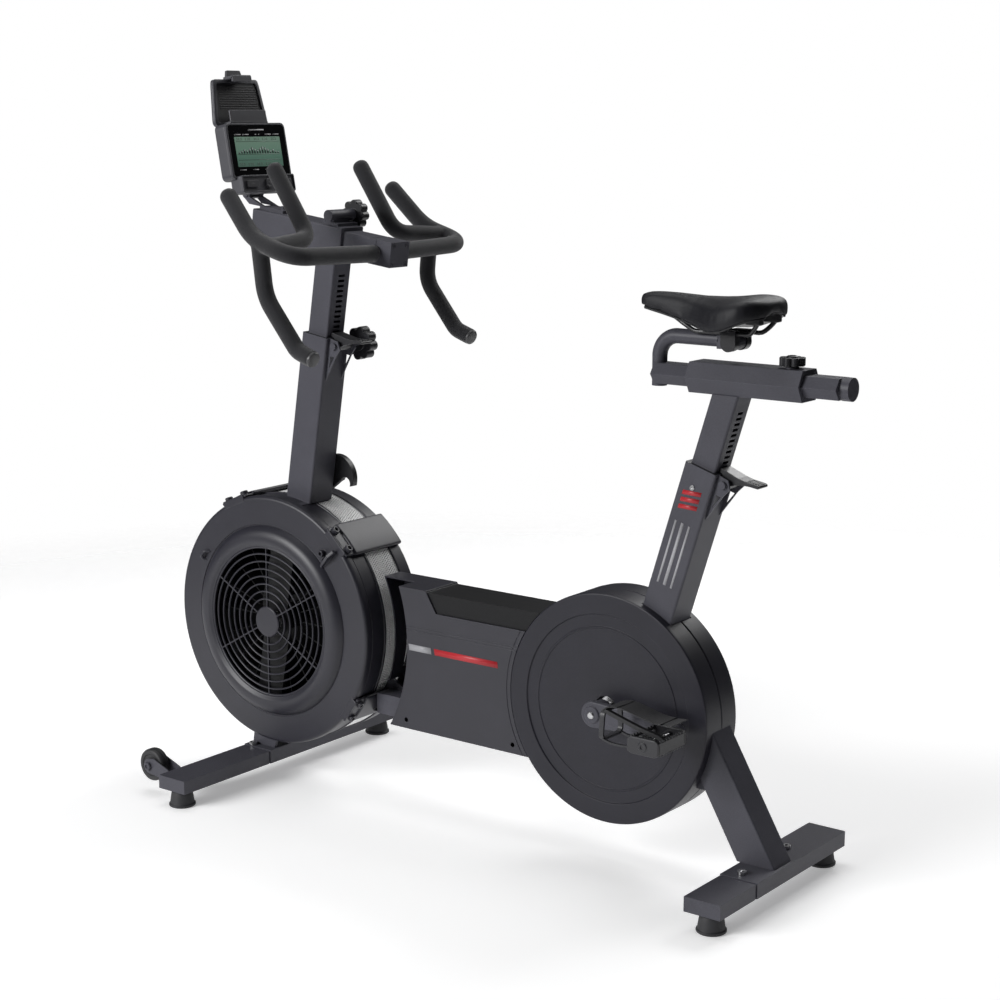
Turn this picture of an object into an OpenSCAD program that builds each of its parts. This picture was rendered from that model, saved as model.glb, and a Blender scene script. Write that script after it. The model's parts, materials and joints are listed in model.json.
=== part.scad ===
// Upright air bike: fan resistance in front, pedal drive at the rear,
// a raked front post with a two-way adjustable handlebar and console,
// and a raked seat tube with a two-way adjustable saddle.
// X runs from the fan (minus) to the saddle (plus), Y from the rider's left
// (minus) to the right (plus), Z is up and the floor is Z = 0.

/* [Stance] */
// Height of the cone feet under the floor beams
foot_h = 33; // [25:1:45]
// Depth of each floor beam along the bike
beam_w = 73; // [60:1:90]
// Height of each floor beam
beam_h = 28; // [22:1:34]
// Length of the front floor beam across the bike
front_beam_l = 630; // [560:5:700]
// Length of the rear floor beam across the bike
rear_beam_l = 429; // [380:1:500]
// Distance from the middle to the front beam's centreline
front_beam_x = -530.6; // [-550:0.1:-515]
// Distance from the middle to the rear beam's centreline
rear_beam_x = 608.4; // [592:0.1:622]

/* [Posts] */
// Rake of the front post from vertical, in degrees
post_rake = 9; // [8:0.5:10]
// Rake of the seat tube from vertical, in degrees
seat_rake = 17.4; // [17:0.1:18]
// Depth of both outer tubes
outer_d = 64; // [62:1:66]
// Width of both outer tubes
outer_w = 66; // [64:1:68]
// Side of both sliding inner tubes
inner_s = 50; // [48:1:51]
// Drop of the handlebar beam towards the rider, in degrees
beam_drop = 7.5; // [6:0.5:9]

/* [Fan] */
// Outer radius of the fan housing
fan_r = 251.7; // [245:0.1:256]
// Radius of the fan wheel
wheel_r = 222; // [200:1:226]
// Number of fan blades
blade_n = 18; // [12:1:24]
// Radius of the round air intake
grille_r = 152.5; // [140:0.5:156]

/* [Drive] */
// Radius of the round crank cover
disc_r = 210.1; // [205:0.1:214]
// Crank arm length, axle to pedal
crank_l = 170; // [165:1:175]
// Pitch radius of the large belt pulley
drive_r = 126; // [110:1:140]
// Pitch radius of the small belt pulley
driven_r = 21; // [20:1:24]

/* [Handlebar] */
// Outside diameter of the foam grips
foam_d = 33; // [31:1:35]
// Outside diameter of the steel handlebar tube
bar_d = 25.4; // [24:0.1:26]

/* [Hidden] */
$fn = 48;

steel = [0.27, 0.27, 0.3];
plastic = [0.2, 0.2, 0.22];
black = [0.1, 0.1, 0.11];
silver = [0.75, 0.75, 0.76];

wall = 2.5;                       // wall of tubes and moulded covers
run = 0.05;                       // radial clearance of a running fit
gap = 0.4;                        // clearance between sliding flats
beam_top = foot_h + beam_h;

fan_x = -489.6;                   // fan axle
fan_z = 330.8;
disc_x = 301.5;                   // crank axle
disc_z = 288.5;
rim_y = 65.8;                     // outer face of each fan shell's rim
band_lo = -11;                    // mesh band, from left shell to right
band_hi = 58;
far_y = 22;                       // the right shell stands this much further out
disc_half = 50;                   // half width of the crank cover
shroud_half = 48;
shroud_lo = 165;
shroud_hi = 443;
plate_l = [-58, -50];             // left and right fan fork plates
plate_r = [21, 28];
belt_y = [35.5, 42.5];
spine_lo = 172;
spine_h = 40;
spine_w = 44;
spine_x = [fan_x + 234, rear_beam_x - 84];
yoke_z = 558;                     // underside of the yoke over the fan wheel
leg_foot = rear_beam_x - 7;       // leg axis at the beam's top
leg_lean = -30.2;                 // degrees from vertical, towards the crank
leg_d = 65;
leg_w = 60;
axle_r = 8;
crank_axle_r = 10;
arm_y = [76, 90];                 // crank arm, inner and outer face

post_o = [-420.9, 0, 736];        // a point on the front post's axis
post_lo = -162;                   // outer tube's ends along that axis
post_hi = 171;
seat_o = [433.1, 0, 594];         // a point on the seat tube's axis
seat_lo = -262;
seat_hi = 152;
pivot = [45, -13];                // lever pin, back from and below a collar
beam_o = [-365.2, 0, 1087.4];     // handlebar beam's axis over the post
sleeve_x = [-192, 40];            // beam sleeve along that axis
sleeve_h = 60;
sleeve_w = 62;
reach_h = 46;
reach_w = 50;
clamp_x = [108, 161];             // bar clamp along the beam axis
bar_x = 124;                      // handlebar centre in the clamp
bar_z = -4;
rod = [6, 48];                    // pinch rod, along and above the beam

slide_z = 890.5;                  // saddle slider centreline
slide_x = [372.4, 724.4];
slide_half = 17.5;
sleeve_s = [446.4, 661.4];           // slider sleeve
sleeve_half = 26;
seat_knob_x = 629.4;
saddle_pin = [522.4, 952];         // saddle tilt pin
console_o = [-551.6, 0, 1198];     // bottom of the console's face
console_tilt = -10.5;
console_w = 164;
console_h = 110;
console_d = 32;
console_pin = [-34, -22];         // console tilt pin, in the console frame

// ---------- frames ----------
module in_post() { translate(post_o) rotate([0, post_rake, 0]) children(); }
module in_seat() { translate(seat_o) rotate([0, seat_rake, 0]) children(); }
module in_beam() { translate(beam_o) rotate([0, beam_drop, 0]) children(); }
module in_console() {
    translate(console_o) rotate([0, console_tilt, 0]) children();
}
module at_fan() { translate([fan_x, 0, fan_z]) children(); }
module at_crank() { translate([disc_x, 0, disc_z]) children(); }
// Turns a solid drawn along Z so that it runs along Y, X staying X
module along_y() { rotate([-90, 0, 0]) children(); }
module both_sides() { children(); mirror([0, 1, 0]) children(); }

// ---------- shapes ----------
// Rectangle with round corners, centred
module round_rect(x, y, r) {
    square([x - 2 * r, y], center = true);
    square([x, y - 2 * r], center = true);
    for (sx = [-1, 1], sy = [-1, 1])
        translate([sx * (x / 2 - r), sy * (y / 2 - r)]) circle(r);
}

// Box with round vertical edges, standing on z = lo
module round_bar(x, y, lo, hi, r = 4) {
    translate([0, 0, lo]) linear_extrude(hi - lo) round_rect(x, y, r);
}

// Rectangular tube standing on z = lo
module rect_tube(x, y, lo, hi, t = wall, r = 4) {
    difference() {
        round_bar(x, y, lo, hi, r);
        round_bar(x - 2 * t, y - 2 * t, lo - 1, hi + 1, 2);
    }
}

// Cylinder along Y from y0 to y1
module rod_y(r, y0, y1) { translate([0, y0, 0]) along_y() cylinder(r = r, h = y1 - y0); }

// Ring along Y from y0 to y1
module ring_y(r, bore, y0, y1) {
    difference() {
        rod_y(r, y0, y1);
        rod_y(bore, y0 - 1, y1 + 1);
    }
}

// Solid of revolution about Y; the outline holds [radius, y] pairs
module turned_y(points) {
    rotate([-90, 0, 0]) rotate_extrude($fn = 96) polygon(points);
}

// Outline in X and Z, pushed along Y from y0 to y1
module plate_y(y0, y1) {
    translate([0, y1, 0]) rotate([90, 0, 0]) linear_extrude(y1 - y0) children();
}

function unit(v) = v / norm(v);
function turn_of(a, b) = acos(max(-1, min(1, a * b)));

// One straight of a bent tube, from a to b
module straight(a, b, r) {
    d = unit(b - a);
    side = unit(abs(d[2]) < 0.9 ? cross([0, 0, 1], d) : cross([1, 0, 0], d));
    up = cross(d, side);
    multmatrix([
        [side[0], up[0], d[0], a[0]],
        [side[1], up[1], d[1], a[1]],
        [side[2], up[2], d[2], a[2]],
        [0, 0, 0, 1]
    ]) cylinder(r = r, h = norm(b - a));
}

// One elbow of a bent tube at corner p, between directions a and b
module elbow(p, a, b, bend, r) {
    angle = turn_of(a, b);
    n = unit(b - (a * b) * a);
    start = p - a * bend * tan(angle / 2);
    c = start + n * bend;
    x = -n;
    z = cross(x, a);
    multmatrix([
        [x[0], a[0], z[0], c[0]],
        [x[1], a[1], z[1], c[1]],
        [x[2], a[2], z[2], c[2]],
        [0, 0, 0, 1]
    ]) rotate_extrude(angle = angle) translate([bend, 0]) circle(r);
}

bend_swell = 0.12;                // a bend is this much fatter than a straight
bend_lap = 1;                     // a straight runs this far into a bend
// Tube of radius r through corner points, bent with radii bends
module bent_tube(points, bends, r) {
    last = len(points) - 1;
    dirs = [for (i = [0:last - 1]) unit(points[i + 1] - points[i])];
    cut = [for (i = [0:last])
        i == 0 || i == last ? 0
            : bends[i - 1] * tan(turn_of(dirs[i - 1], dirs[i]) / 2) - bend_lap];
    for (i = [0:last - 1])
        straight(points[i] + dirs[i] * cut[i],
                 points[i + 1] - dirs[i] * cut[i + 1], r);
    for (i = [1:last - 1])
        elbow(points[i], dirs[i - 1], dirs[i], bends[i - 1], r + bend_swell);
}

// Eight-lobed hand knob along Z with its base at z = 0
module star_knob(r, h, bore) {
    lobe = r * 0.24;
    difference() {
        union() {
            cylinder(r = r - lobe * 1.1, h = h);
            for (i = [0:7])
                rotate([0, 0, i * 45]) translate([r - lobe, 0, 0]) cylinder(r = lobe, h = h);
        }
        translate([0, 0, -1]) cylinder(r = bore, h = h * 0.7 + 1);
    }
}

// ---------- floor beams and feet ----------
module floor_beam(length, seam_y) {
    // The end past the seam is a plugged-in length, slightly smaller
    difference() {
        translate([-beam_w / 2, -length / 2, foot_h]) cube([beam_w, length, beam_h]);
        translate([-beam_w / 2 + 4, -length / 2 + 4, foot_h + 3])
            cube([beam_w - 8, length - 8, beam_h - 6]);
        translate([-beam_w / 2 - 1, -length / 2 - 1, beam_top - 1.5])
            cube([beam_w + 2, length / 2 + seam_y + 1, 3]);
        for (sx = [-1, 1])
            translate([sx * beam_w / 2 - 1.5, -length / 2 - 1, foot_h - 1])
                cube([3, length / 2 + seam_y + 1, beam_h + 2]);
        translate([-beam_w / 2 - 1, seam_y, foot_h - 1]) difference() {
            cube([beam_w + 2, 3, beam_h + 2]);
            translate([4, -1, 4]) cube([beam_w - 6, 5, beam_h - 6]);
        }
    }
}
module front_beam() {
    color(steel) translate([front_beam_x, 0, 0]) floor_beam(front_beam_l, -80);
}
module rear_beam() {
    color(steel) translate([rear_beam_x, 0, 0]) floor_beam(rear_beam_l, -100);
}

module foot() {
    cylinder(r1 = 26, r2 = 20, h = foot_h - 3);
    translate([0, 0, foot_h - 3]) cylinder(r = 9, h = 3);
}
module levelling_feet() {
    color(black) both_sides() {
        translate([front_beam_x + 3, -290.5, 0]) foot();
        translate([rear_beam_x + 4, -189.3, 0]) foot();
    }
}

// ---------- welded frame ----------
module front_post() {
    color(steel) in_post() rect_tube(outer_d, outer_w, post_lo, post_hi);
}
module seat_tube() {
    color(steel) in_seat() rect_tube(outer_d, outer_w, seat_lo, seat_hi);
}

module rear_leg() {
    color(steel) difference() {
        translate([leg_foot, 0, beam_top]) rotate([0, leg_lean, 0])
            rect_tube(leg_d, leg_w, -60, 440, wall, 3);
        translate([leg_foot - 200, -100, -100]) cube([400, 200, beam_top + 100]);
        in_seat() translate([-400, -100, seat_lo - 250]) cube([400 + outer_d / 2 + 0.05, 200, 900]);
    }
}

// One side of the fan fork; the rear arm runs on to the spine
module fork_plate(rear_arm) {
    post_foot = post_o[0] + tan(post_rake) * (yoke_z - post_o[2]);
    difference() {
        union() {
            polygon([
                [front_beam_x - 30, beam_top], [front_beam_x + 30, beam_top],
                [fan_x + 34, fan_z - 40], [fan_x + 34, fan_z + 40],
                [post_foot + 30, yoke_z + 2], [post_foot - 26, yoke_z + 2],
                [fan_x - 34, fan_z + 40], [fan_x - 34, fan_z - 40]
            ]);
            if (rear_arm) polygon([
                [fan_x, fan_z - 40], [fan_x + 34, fan_z + 10],
                [spine_x[0] + 40, spine_lo + spine_h], [spine_x[0] + 40, spine_lo],
                [spine_x[0] - 6, spine_lo]
            ]);
            translate([fan_x, fan_z]) circle(40);
        }
        translate([fan_x, fan_z]) circle(17.5);
    }
}
module leg_solid(grow) {
    translate([leg_foot, 0, beam_top]) rotate([0, leg_lean, 0])
        round_bar(leg_d + grow, leg_w + grow, -60, 440, 3);
}
module seat_solid(grow) {
    in_seat() round_bar(outer_d + grow, outer_w + grow, seat_lo, seat_hi, 4);
}
module lower_frame() {
    color(steel) {
        plate_y(plate_l[0], plate_l[1]) fork_plate(false);
        plate_y(plate_r[0], plate_r[1]) fork_plate(true);
        // Yoke that carries the post over the fan wheel
        difference() {
            translate([fan_x + 12, plate_l[0], yoke_z])
                cube([60, plate_r[1] - plate_l[0], 22]);
            in_post() translate([-100, -100, post_lo]) cube([200, 200, 400]);
        }
        // Spine from the fan fork to the rear leg
        difference() {
            translate([spine_x[0], -spine_w / 2, spine_lo])
                cube([spine_x[1] - spine_x[0], spine_w, spine_h]);
            translate([spine_x[0] - 1, -spine_w / 2 + wall, spine_lo + wall])
                cube([spine_x[1] - spine_x[0] + 2, spine_w - 2 * wall, spine_h - 2 * wall]);
            leg_solid(0.04);
        }
        // Bracket shell for the crank, on a web from the spine to the seat tube
        difference() {
            union() {
                at_crank() rod_y(27, -36, 30);
                plate_y(-8, 8) polygon([
                    [disc_x - 24, spine_lo + spine_h - 0.01],
                    [disc_x + 24, spine_lo + spine_h - 0.01],
                    [disc_x + 24, disc_z], [disc_x + 76, disc_z + 46],
                    [disc_x + 30, disc_z + 74], [disc_x - 24, disc_z + 4]
                ]);
            }
            at_crank() rod_y(21, -40, 40);
            seat_solid(0.04);
        }
    }
}

module bearing(r, bore, y0, y1) { ring_y(r, bore, y0, y1); }
module bearings() {
    color(silver) {
        at_fan() {
            bearing(17.5, axle_r + run, plate_l[0], plate_l[1]);
            bearing(17.5, axle_r + run, plate_r[0], plate_r[1]);
        }
        at_crank() {
            bearing(21, crank_axle_r + run, -36, -24);
            bearing(21, crank_axle_r + run, 18, 30);
        }
    }
}

// ---------- sliding fits ----------
module bushing_body(x, y) {
    difference() {
        round_bar(x, y, -60, 0, 2);
        round_bar(inner_s + 2 * gap, inner_s + 2 * gap, -61, 1, 4);
    }
}
module post_bushings() {
    x = outer_d - 2 * wall;
    y = outer_w - 2 * wall;
    color(black) {
        in_post() translate([0, 0, post_hi]) bushing_body(x, y);
        in_seat() translate([0, 0, seat_hi]) bushing_body(x, y);
    }
}

// Pair of cheeks behind a collar with the lever's pin across them, up to pin_end
module lug_pair(pin_end) {
    cheek = [[outer_d / 2, 0], [52, -2], [60, -16], [52, -30], [outer_d / 2, -84]];
    both_sides() plate_y(21, 24) difference() {
        polygon(cheek);
        polygon([[38, -34], [48, -34], [38, -58]]);
    }
    translate([pivot[0], 0, pivot[1]]) {
        rod_y(4, -24, 24);
        rod_y(7, -29, -24);
        rod_y(4, 24, pin_end);
    }
}
module lever_lugs() {
    color(steel) {
        in_post() translate([0, 0, post_hi]) lug_pair(63);
        in_seat() translate([0, 0, seat_hi]) lug_pair(29);
    }
}

// Moulded lever: bored hub, pawl towards the rack, and a dished thumb plate
module pop_lever() {
    color(black) translate([pivot[0], 0, pivot[1]]) difference() {
        union() {
            rod_y(9, -20, 20);
            plate_y(-15, 15) difference() {
                polygon([
                    [-6, 6], [-12, 14.5], [-19.2, 15], [-19.2, 23],
                    [22, 20], [58, 22], [60, 17], [30, 11], [6, 0]
                ]);
                translate([38, 60]) circle(40, $fn = 96);
            }
        }
        rod_y(4 + run, -21, 21);
    }
}
module post_lever() { in_post() translate([0, 0, post_hi]) pop_lever(); }
module seat_lever() { in_seat() translate([0, 0, seat_hi]) pop_lever(); }
module post_knob() {
    color(black) in_post() translate([pivot[0], 46, post_hi + pivot[1]])
        along_y() star_knob(33, 26, 4 + run);
}

// Hook on the right face of the post: a round back with a scoop under its tip
module strap_hook() {
    color(black) in_post() {
        plate_y(outer_w / 2, outer_w / 2 + 12) difference() {
            translate([36, -115]) circle(45.5);
            translate([61, -121.5]) circle(12.5);
            translate([-20, -180]) square([36, 130]);
            polygon([[10, -158], [46.5, -120], [73.5, -118.5], [73.5, -125], [90, -118], [90, -180], [10, -180]]);
        }
    }
}

// ---------- crank cover and shroud ----------
// Ways into the round cover for the seat tube, the leg, the spine and the belt
module cover_cuts() {
    seat_solid(3);
    leg_solid(3);
    translate([disc_x - 260, -44, spine_lo - 6]) cube([120, 88, 270]);
    translate([disc_x + 140, -spine_w / 2 - 2, spine_lo - 3])
        cube([90, spine_w + 4, spine_h + 6]);
}
// Half of the round cover: rim, recessed face and a fine raised ring
module disc_cover() {
    turned_y([
        [24, 47], [146.5, 47], [147, 48.2], [149.5, 48.2], [150, 47],
        [171, 47], [172, disc_half], [206, disc_half], [disc_r, 47],
        [disc_r, 0.1], [disc_r - wall, 0.1], [disc_r - wall, 44.5], [24, 44.5]
    ]);
}
module disc_cover_right() {
    color(plastic) difference() {
        at_crank() disc_cover();
        cover_cuts();
    }
}
module disc_cover_left() {
    color(plastic) difference() {
        at_crank() mirror([0, 1, 0]) disc_cover();
        cover_cuts();
        translate([disc_x + 187.7, 0, disc_z - 33.1]) rod_y(5, -60, -40);
    }
}

insert_x = -96.6;                 // front end of the top insert
insert_z = 402;
module shroud_outline(inset) {
    difference() {
        translate([fan_x + 190, shroud_lo + inset])
            square([disc_x - fan_x - 290, shroud_hi - shroud_lo - 2 * inset]);
        translate([disc_x, disc_z]) circle(disc_r + 0.6 + inset, $fn = 128);
        polygon([
            [insert_x - 14, shroud_hi + 1], [insert_x + 12, insert_z - inset],
            [disc_x, insert_z - inset], [disc_x, shroud_hi + 1]
        ]);
    }
}
// Half of the long cover between the fan housing and the round cover
module shroud_half_shell(front_r) {
    difference() {
        plate_y(0.1, shroud_half) difference() {
            shroud_outline(0);
            translate([fan_x, fan_z]) circle(front_r, $fn = 128);
        }
        plate_y(-1, shroud_half - wall) difference() {
            shroud_outline(wall);
            translate([fan_x, fan_z]) circle(front_r + wall, $fn = 128);
        }
        // Twin style lines and the ring that follows the round cover
        for (z = [361, 367])
            translate([fan_x, shroud_half - 0.8, z]) cube([disc_x - fan_x, 2, 2.2]);
        plate_y(shroud_half - 0.8, shroud_half + 1) translate([disc_x, disc_z])
            difference() { circle(220); circle(218.4); }
        // Ways through for the spine and for the belt's two runs
        translate([fan_x, -1, spine_lo - 3])
            cube([disc_x - fan_x, spine_w / 2 + 4, spine_h + 6]);
        translate([fan_x, -1, spine_lo - 3]) cube([290, plate_r[1] + 3, spine_h + 26]);
        plate_y(belt_y[0] - 2, belt_y[1] + 1) belt_outline(4);
    }
}
module shroud_left() {
    color(plastic) difference() {
        mirror([0, 1, 0]) shroud_half_shell(fan_r + 82);
        for (x = [fan_x + 330, disc_x - 206])
            translate([x, 0, shroud_lo + 17]) rod_y(4.5, -60, -40);
    }
}
module shroud_right() { color(plastic) shroud_half_shell(fan_r + 11); }
module shroud_insert() {
    top = shroud_hi - 3;
    color(black) difference() {
        plate_y(-shroud_half + 3, shroud_half - 3) difference() {
            polygon([
                [insert_x - 11, top], [insert_x + 12.5, insert_z + 0.5],
                [disc_x, insert_z + 0.5], [disc_x, top]
            ]);
            translate([disc_x, disc_z]) circle(disc_r + 1.2, $fn = 128);
        }
        plate_y(-shroud_half + 6, shroud_half - 6) difference() {
            polygon([
                [insert_x - 4, top - 3], [insert_x + 12, insert_z - 1],
                [disc_x, insert_z - 1], [disc_x, top - 3]
            ]);
            translate([disc_x, disc_z]) circle(disc_r + 4, $fn = 128);
        }
    }
}

// ---------- fan housing ----------
// One moulded shell; lip is where its rim meets the mesh band
module fan_shell(lip) {
    r = fan_r;
    g = grille_r;
    turned_y([
        [r, lip], [r, 62], [r - 3, 66], [r - 11, 69], [196, 72.5],
        [190.5, 72.5], [187, 83], [172, 88], [159, 86], [g + 0.05, 82],
        [g + 0.05, 76], [159, 83], [172, 85], [185, 80.5], [188.5, 69.5],
        [r - 12, 66], [r - wall, 62], [r - wall, lip]
    ]);
}
// Ways through the rim of the fan housing for the post, the fork and the spine
module frame_ways() {
    in_post() round_bar(outer_d + 3, outer_w + 3, post_lo - 60, 0, 4);
    for (y = [plate_l, plate_r])
        translate([front_beam_x - 38, y[0] - 1, beam_top - 10])
            cube([76, y[1] - y[0] + 2, 90]);
    translate([fan_x + 12, plate_l[0] - 1, yoke_z - 1])
        cube([62, plate_r[1] - plate_l[0] + 2, 40]);
    translate([fan_x + 190, plate_r[0] - 1, spine_lo - 6])
        cube([80, plate_r[1] - plate_r[0] + 2, 90]);
}
module fan_shell_left() {
    color(plastic) difference() {
        at_fan() mirror([0, 1, 0]) {
            fan_shell(-band_lo);
            // Catch and clip moulded on the face
            rotate([0, -43, 0]) translate([186, 71, -3]) plate_y(0, 14)
                polygon([[0, 0], [44, 3], [46, 9], [30, 12], [2, 8]]);
            rotate([0, -148, 0]) translate([206, 70, -8]) cube([7, 7, 16]);
        }
        frame_ways();
    }
}
module fan_shell_right() {
    color(plastic) at_fan() translate([0, far_y, 0]) fan_shell(band_hi - far_y);
}

ring_pitch = (grille_r - 31) / 8;
module grille() {
    rod_y(31, 79, 84);
    for (i = [1:7])
        ring_y(31 + i * ring_pitch + 1.8, 31 + i * ring_pitch - 1.8, 79, 83);
    ring_y(grille_r, grille_r - 4, 77, 82);
    for (a = [30:60:330])
        rotate([0, a, 0]) translate([29, 77, -1.2]) cube([grille_r - 31, 3, 2.4]);
}
module fan_grilles() {
    color(black) at_fan() {
        mirror([0, 1, 0]) grille();
        translate([0, far_y, 0]) grille();
    }
}
module mesh_band() {
    color(silver) difference() {
        at_fan() ring_y(fan_r - 3.2, fan_r - 4.7, band_lo + 0.1, band_hi - 0.1);
        plate_y(belt_y[0] - 2, belt_y[1] + 2) intersection() {
            belt_outline(4);
            translate([fan_x, 0]) square([400, 900]);
        }
        frame_ways();
    }
}
// Clip that bridges the mesh between the two shells
module band_bracket(angle, span) {
    at_fan() rotate([0, -angle, 0]) {
        difference() {
            intersection() {
                ring_y(fan_r + 9, fan_r + 0.2, -rim_y - 6, rim_y + far_y + 6);
                translate([0, -100, -span / 2]) cube([400, 200, span]);
            }
            translate([fan_r + 5, -rim_y + 16, -span / 2 - 1]) cube([20, 14, span + 2]);
        }
        for (y = [-rim_y - 6, rim_y + far_y + 2.6])
            translate([fan_r - 9, y, -span / 2 + 8]) cube([14, 3.4, span - 16]);
    }
}
module band_brackets() {
    color(plastic) difference() {
        union() {
            band_bracket(46, 74);
            band_bracket(113, 74);
            band_bracket(-36, 66);
        }
        frame_ways();
    }
}

// ---------- fan and drive ----------
module fan_wheel() {
    y0 = plate_l[1] + 6;
    y1 = plate_r[0] - 6;
    color(silver) at_fan() {
        ring_y(wheel_r, axle_r, y1 - 2, y1);
        ring_y(26, axle_r, y0, y1 - 2);
        ring_y(wheel_r, wheel_r - 60, y0, y0 + 2);
        for (i = [0:blade_n - 1])
            rotate([0, i * 360 / blade_n, 0]) translate([60, y0 + 0.5, -1])
                cube([wheel_r - 66, y1 - y0 - 1.5, 2]);
    }
}
module fan_axle() {
    color(silver) at_fan() difference() {
        rod_y(axle_r, plate_l[0] - 6, belt_y[1] + 5);
        rod_y(2.5, plate_l[0] - 7, plate_l[0] + 6);
    }
}
module grooved_pulley(r, bore) {
    turned_y([
        [bore, belt_y[0] - 1.5], [r + 1, belt_y[0] - 1.5], [r + 1, belt_y[0] - 0.2],
        [r - 1.6, belt_y[0] - 0.2], [r - 1.6, belt_y[1] + 0.2],
        [r + 1, belt_y[1] + 0.2], [r + 1, belt_y[1] + 1], [bore, belt_y[1] + 1]
    ]);
}
module fan_pulley() { color(silver) at_fan() grooved_pulley(driven_r, axle_r); }
module drive_pulley() {
    color(silver) at_crank() difference() {
        grooved_pulley(drive_r, crank_axle_r);
        for (i = [0:4]) rotate([0, 36 + i * 72, 0]) translate([75, 0, 0]) rod_y(28, 0, 60);
    }
}
// Side view of the belt loop, grown outwards by t
module belt_outline(t) {
    span = norm([disc_x - fan_x, disc_z - fan_z]);
    lean = asin((drive_r - driven_r) / span);
    down = atan2(disc_z - fan_z, disc_x - fan_x);
    up_a = down + 90 + lean;
    lo_a = down - 90 - lean;
    big = drive_r + t;
    small = driven_r + t;
    lap = 0.05;                       // the straights run this far under the wraps
    translate([disc_x, disc_z]) circle(big, $fn = 128);
    translate([fan_x, fan_z]) circle(small, $fn = 96);
    polygon([
        [disc_x + (big - lap) * cos(up_a), disc_z + (big - lap) * sin(up_a)],
        [fan_x + (small - lap) * cos(up_a), fan_z + (small - lap) * sin(up_a)],
        [fan_x + (small - lap) * cos(lo_a), fan_z + (small - lap) * sin(lo_a)],
        [disc_x + (big - lap) * cos(lo_a), disc_z + (big - lap) * sin(lo_a)]
    ]);
}
module drive_belt() {
    color(black) plate_y(belt_y[0], belt_y[1]) difference() {
        belt_outline(1.2);
        belt_outline(-1.2);
    }
}

module crank_axle() {
    color(silver) at_crank() rod_y(crank_axle_r, -arm_y[1] + 4, arm_y[1] - 4);
}
// Tapered arm from the axle to the pedal, drawn pointing along +X
module crank_arm() {
    difference() {
        union() {
            plate_y(arm_y[0], arm_y[1]) {
                circle(24);
                translate([crank_l, 0]) circle(16);
                polygon([[2, -23.9], [2, 23.9], [crank_l, 16], [crank_l, -16]]);
            }
            rod_y(20, 54, arm_y[0]);
        }
        rod_y(crank_axle_r, 53, arm_y[1] - 4);
        translate([crank_l, 0, 0]) rod_y(7, arm_y[0] - 1, arm_y[1] + 1);
        plate_y(arm_y[1] - 2, arm_y[1] + 1) polygon([[36, -9], [36, 9], [crank_l - 28, 6], [crank_l - 28, -6]]);
    }
}
module crank_arms() {
    color(steel) at_crank() {
        mirror([0, 1, 0]) crank_arm();
        mirror([1, 0, 0]) crank_arm();
    }
}
module pedal_spindle() {
    translate([crank_l, 0, 0]) {
        rod_y(7, arm_y[0], 99);
        rod_y(4.5, 99, 186);
    }
}
module pedal_spindles() {
    color(silver) at_crank() {
        mirror([0, 1, 0]) pedal_spindle();
        mirror([1, 0, 0]) pedal_spindle();
    }
}
// Platform pedal about its own spindle line
module pedal() {
    difference() {
        union() {
            rod_y(10, 101, 188);
            for (y = [101, 182]) translate([-31, y, -15]) cube([62, 8, 30]);
            for (x = [-31, 25]) translate([x, 101, -13]) cube([6, 88, 24]);
            for (z = [-11, 8]) for (y = [117, 141, 165])
                translate([-30, y, z]) cube([60, 7, 3]);
        }
        rod_y(4.5 + run, 100, 187);
        rod_y(6, 186, 191);
    }
}
module toe_cage() {
    // Stirrup and strap that hold the front of the shoe
    both_bars = [118, 168];
    for (y = both_bars) {
        plate_y(y, y + 6) polygon([
            [-31.1, -8], [-80, -14], [-112, -8], [-116, 20], [-98, 46],
            [-90, 44], [-108, 18], [-104, -2], [-80, -8], [-31.1, 2]
        ]);
    }
    translate([-115, 118, 8]) cube([7, 56, 12]);
    // Strap over the instep
    for (y = [110, 176])
        plate_y(y, y + 2.5) polygon([
            [-24, 15.1], [-4, 15.1], [-26, 66], [-52, 70], [-52, 60], [-34, 58]
        ]);
    translate([-52, 110, 64]) cube([26, 68.5, 2.5]);
    translate([-99, 124, 41]) rotate([0, -27, 0]) cube([50, 42, 2.5]);
}
module left_pedal_place() { translate([disc_x + crank_l, 0, disc_z]) mirror([0, 1, 0]) children(); }
module right_pedal_place() { translate([disc_x - crank_l, 0, disc_z]) children(); }
module pedal_left() { color(black) left_pedal_place() pedal(); }
module pedal_right() { color(black) right_pedal_place() pedal(); }
module toe_cage_left() { color(black) left_pedal_place() toe_cage(); }
module toe_cage_right() { color(black) right_pedal_place() toe_cage(); }

// ---------- transport wheels ----------
tw = [-624.1, 58];                // wheel centre
tw_r = 32.5;
tw_y = [258, 283];
module fork_cheek(front) {
    polygon([[front, foot_h + 4], [front, beam_top - 2], [tw[0] + 14, tw[1] + 17],
        [tw[0] - 8, tw[1] + 13], [tw[0] - 15, tw[1]], [tw[0] - 6, tw[1] - 14]]);
}
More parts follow.
